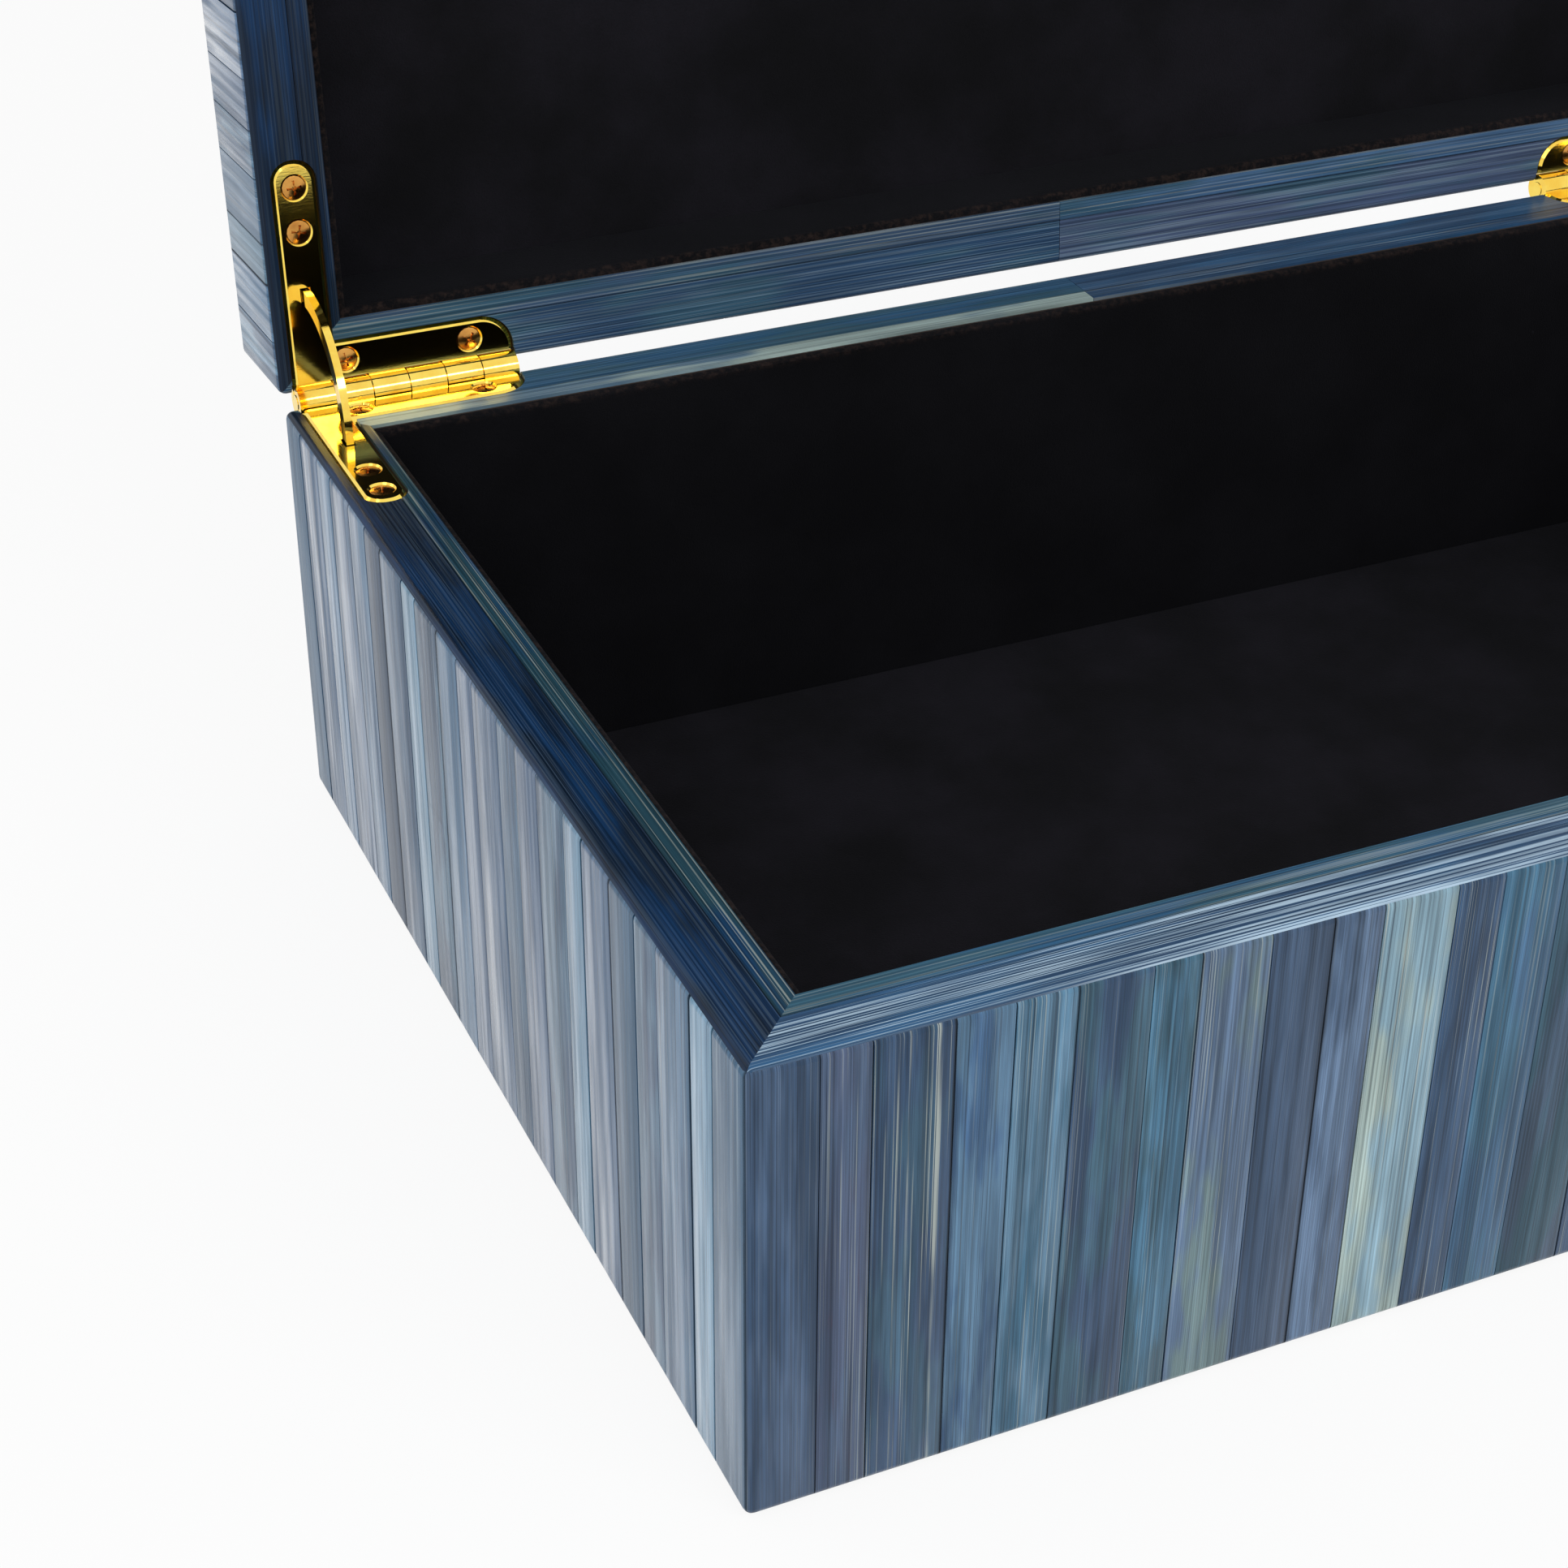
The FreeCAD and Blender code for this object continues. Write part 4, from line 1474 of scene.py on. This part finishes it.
@dataclass(frozen=True)
class Underside:
    """Felt sheet under the base."""

    corner_round: float = 4.0
    corner_facets: int = 4
    edge_round: float = 0.25
    edge_facets: int = 2

    def build(self) -> None:
        """Build and dress the felt."""
        reach = [SIZES.half(axis) - SIZES.felt_inset for axis in (0, 1)]
        middle = SIZES.felt / 2

        def below(edge: bmesh.types.BMEdge) -> bool:
            """Whether an edge lies on the underside."""
            return all(vert.co.z < middle for vert in edge.verts)

        felt = Stock.block((-reach[0], -reach[1], 0.0), (*reach, SIZES.felt))
        felt.round(self.corner_round, self.corner_facets, lambda edge: runs_along(edge, 2, middle))
        felt.round(self.edge_round, self.edge_facets, below)
        made = felt.piece("bottom_felt_sheet", Shell.BASE, FeltFinish().material())
        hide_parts("bottom_felt")
        flat = (2 * reach[0] * MM, 2 * reach[1] * MM)


@dataclass(frozen=True)
class Screws:
    """Screws with slightly domed heads and a cross recess, four in each leaf of the two hinges."""

    spots: tuple[tuple[float, float], ...] = ((146.0, 73.2), (146.0, 65.5), (140.2, 96.8), (117.7, 96.8))
    base_level: float = 76.1
    lid_level: float = 76.3
    crown: float = 0.07
    head_radius: float = 2.04
    head_edge: float = -0.28
    shank_radius: float = 1.08
    head_depth: float = -1.3
    point_start: float = -7.5
    length: float = 10.0
    facets: int = 16
    rings: tuple[float, ...] = (0.42, 0.85, 1.3, 1.7)
    recess_hub: float = 0.42
    recess_reach: float = 1.3
    recess_depth: float = 0.65
    recess_taper: float = 0.75
    seed: int = 5
    finish: BrassFinish = BrassFinish("screw_brass", display(214, 156, 80), display(176, 118, 58), 0.16)

    def build(self) -> None:
        """Build and dress each leaf's four screws."""
        metal = self.finish.material()
        chance = random.Random(self.seed)
        for label, sign in (("left", -1), ("right", 1)):
            for shell in Shell:
                screws = self.leaf_set(shell, sign, chance)
                made = screws.piece(f"{label}_hinge_{shell.value}_screw_set", shell, metal)
                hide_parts(f"{label}_hinge_{shell.value}_screws")

    def leaf_set(self, shell: Shell, sign: int, chance: random.Random) -> Stock:
        """The four screws of one leaf, each turned home to an angle of its own.

        Args:
            shell: The shell that the leaf is on.
            sign: Side of the box.
            chance: Source of the angles.

        Returns:
            The screws in one mesh.
        """
        row = Stock()
        level, flip = (self.base_level, 0.0) if shell is Shell.BASE else (self.lid_level, math.pi)
        for x, y in self.spots:
            screw = self.screw()
            turn = Matrix.Rotation(flip, 4, "X") @ Matrix.Rotation(chance.uniform(0.0, math.pi / 2), 4, "Z")
            place = Matrix.Translation((sign * x, y, level)) @ turn
            bmesh.ops.transform(screw.mesh, matrix=place, verts=screw.mesh.verts)
            row.add(screw)
        return row

    def screw(self) -> Stock:
        """One screw with its head at the origin, pointing down.

        Returns:
            The screw.
        """
        fall = (self.crown - self.head_edge) / self.head_radius ** 2
        dome = [(radius, self.crown - fall * radius ** 2) for radius in (0.0, *self.rings, self.head_radius)]
        shank = [
            (self.shank_radius, self.head_depth), (self.shank_radius, self.point_start), (0.0, -self.length),
        ]
        made = Stock.turned([*dome, *shank], self.facets)
        recess = [face for face in made.mesh.faces if self.in_recess(face.calc_center_median())]
        sunk = bmesh.ops.extrude_face_region(made.mesh, geom=recess)
        verts = [item for item in sunk["geom"] if isinstance(item, bmesh.types.BMVert)]
        bmesh.ops.scale(made.mesh, vec=(self.recess_taper, self.recess_taper, 1.0), verts=verts)
        bmesh.ops.translate(made.mesh, vec=(0.0, 0.0, -self.recess_depth), verts=verts)
        bmesh.ops.delete(made.mesh, geom=recess, context="FACES")
        return made

    def in_recess(self, spot: Vector) -> bool:
        """Whether a point of the head lies in one of the recess's arms or its hub.

        Args:
            spot: The point.

        Returns:
            Whether it does.
        """
        reach = math.hypot(spot.x, spot.y)
        if spot.z < self.head_edge or reach > self.recess_reach:
            return False
        step = 2 * math.pi / self.facets
        facet = math.floor((math.atan2(spot.y, spot.x) % (2 * math.pi)) / step)
        return reach < self.recess_hub or facet % (self.facets // 4) == 0


@dataclass(frozen=True)
class Hardware:
    """Brass hinges, and the cores that they are let into."""

    brass: BrassFinish = BrassFinish("hinge_brass", display(255, 224, 106), display(250, 204, 82), 0.05)
    board: BoardFinish = BoardFinish()

    def dress(self) -> None:
        """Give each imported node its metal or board."""
        brass, board = self.brass.material(), self.board.material()
        for node in sorted(frame["nodes"]):
            if "_hinge_" in node and not node.endswith("_screws"):
                wear(node, brass)
            elif node.endswith("_panel"):
                wear(node, board)


@dataclass(frozen=True)
class Lamp:
    """A soft lamp: its place and its face's width and height in metres, its watts, and where it looks."""

    name: str
    place: tuple[float, float, float]
    size: tuple[float, float]
    power: float
    aim: tuple[float, float, float] = (0.0, 0.0, 0.08)

    def hang(self) -> None:
        """Hang the lamp."""
        lamp = bpy.data.lights.new(self.name, "AREA")
        lamp.shape = "RECTANGLE"
        lamp.size, lamp.size_y = self.size
        lamp.energy = self.power
        made = bpy.data.objects.new(self.name, lamp)
        sight = Vector(self.aim) - Vector(self.place)
        turn = sight.to_track_quat("-Z", "Y").to_matrix().to_4x4()
        made.matrix_world = Matrix.Translation(self.place) @ turn
        bpy.context.scene.collection.objects.link(made)


@dataclass(frozen=True)
class Studio:
    """Pale floor, soft light and the camera."""

    eye: tuple[float, float, float] = (-0.26361, -0.36376, 0.29604)
    sight: tuple[float, float, float] = (0.34270, 0.77400, -0.53240)
    roll: float = 0.273
    lens: float = 68.49
    sensor: float = 36.0
    nearest: float = 0.01
    sky: float = 0.55
    backdrop: float = 0.97
    floor_size: float = 6.0
    floor_grey: Rgba = (0.9, 0.9, 0.9, 1.0)
    floor_glow: float = 0.9
    white: Rgba = (1.0, 1.0, 1.0, 1.0)
    lamps: tuple[Lamp, ...] = (
        Lamp("key_lamp", (-0.9, -0.75, 1.15), (0.9, 0.9), 3.8),
        Lamp("side_lamp", (-1.1, 0.35, 0.45), (0.8, 0.8), 2.0),
        Lamp("front_lamp", (0.17, -0.82, 0.77), (0.7, 0.2), 3.5),
    )

    def build(self) -> None:
        """Set up the whole studio."""
        self.build_camera()
        self.build_floor()
        self.build_sky()
        for lamp in self.lamps:
            lamp.hang()
        bpy.context.scene.view_settings.view_transform = "Standard"

    def build_camera(self) -> None:
        """Stand the camera where the view was taken from."""
        ahead = Vector(self.sight).normalized()
        right = ahead.cross(Vector((0, 0, 1))).normalized()
        above = right.cross(ahead)
        turn = math.radians(self.roll)
        side = right * math.cos(turn) + above * math.sin(turn)
        top = side.cross(ahead)
        lens = bpy.data.cameras.new("camera")
        lens.sensor_fit = "HORIZONTAL"
        lens.sensor_width = self.sensor
        lens.lens = self.lens
        lens.clip_start = self.nearest
        made = bpy.data.objects.new("camera", lens)
        axes = Matrix((side, top, -ahead)).transposed().to_4x4()
        made.matrix_world = Matrix.Translation(self.eye) @ axes
        bpy.context.scene.collection.objects.link(made)
        bpy.context.scene.camera = made

    def build_floor(self) -> None:
        """Lay a wide pale floor that looks white to the camera and still takes the box's shadow."""
        shape = bmesh.new()
        bmesh.ops.create_grid(shape, x_segments=1, y_segments=1, size=self.floor_size)
        mesh = bpy.data.meshes.new("floor")
        shape.to_mesh(mesh)
        shape.free()
        floor = bpy.data.objects.new("floor", mesh)
        bpy.context.scene.collection.objects.link(floor)
        bench, material = Bench.material("pale_floor")
        matte = bench.node("ShaderNodeBsdfDiffuse", None, {"Color": self.floor_grey})
        glow = bench.node("ShaderNodeEmission", None, {"Color": self.white, "Strength": 1.0})
        seen = self.seen(bench) * self.floor_glow
        both = bench.node("ShaderNodeMixShader", None, {0: seen, 1: matte.outputs[0], 2: glow.outputs[0]})
        bench.node("ShaderNodeOutputMaterial", None, {"Surface": both.outputs[0]})
        mesh.materials.append(material)

    @staticmethod
    def seen(bench: Bench) -> Value:
        """One on rays from the camera, and on those that metal or glass sends on.

        Args:
            bench: The material's bench.

        Returns:
            One or zero.
        """
        path = bench.node("ShaderNodeLightPath")
        kinds = ("Is Camera Ray", "Is Glossy Ray", "Is Transmission Ray")
        camera, glossy, sent = (Value(bench, path.outputs[kind]) for kind in kinds)
        return camera.most(glossy).most(sent)

    def build_sky(self) -> None:
        """Even light from all round, white where it is seen."""
        world = bpy.data.worlds.new("soft_sky")
        world.use_nodes = True
        bench = Bench(world.node_tree)
        light = bench.node("ShaderNodeBackground", None, {"Color": self.white, "Strength": self.sky})
        white = bench.node("ShaderNodeBackground", None, {"Color": self.white, "Strength": self.backdrop})
        inputs = {0: self.seen(bench), 1: light.outputs[0], 2: white.outputs[0]}
        both = bench.node("ShaderNodeMixShader", None, inputs)
        bench.node("ShaderNodeOutputWorld", None, {"Surface": both.outputs[0]})
        bpy.context.scene.world = world


def main() -> None:
    """Build and dress the whole box, then set up the studio."""
    logging.basicConfig(level=logging.INFO, format="%(message)s")
    StrawSkin().build()
    StrawRims().dress()
    Lining().build()
    Underside().build()
    Screws().build()
    Hardware().dress()
    Studio().build()
    bpy.context.view_layer.update()


if __name__ == "__main__":
    main()
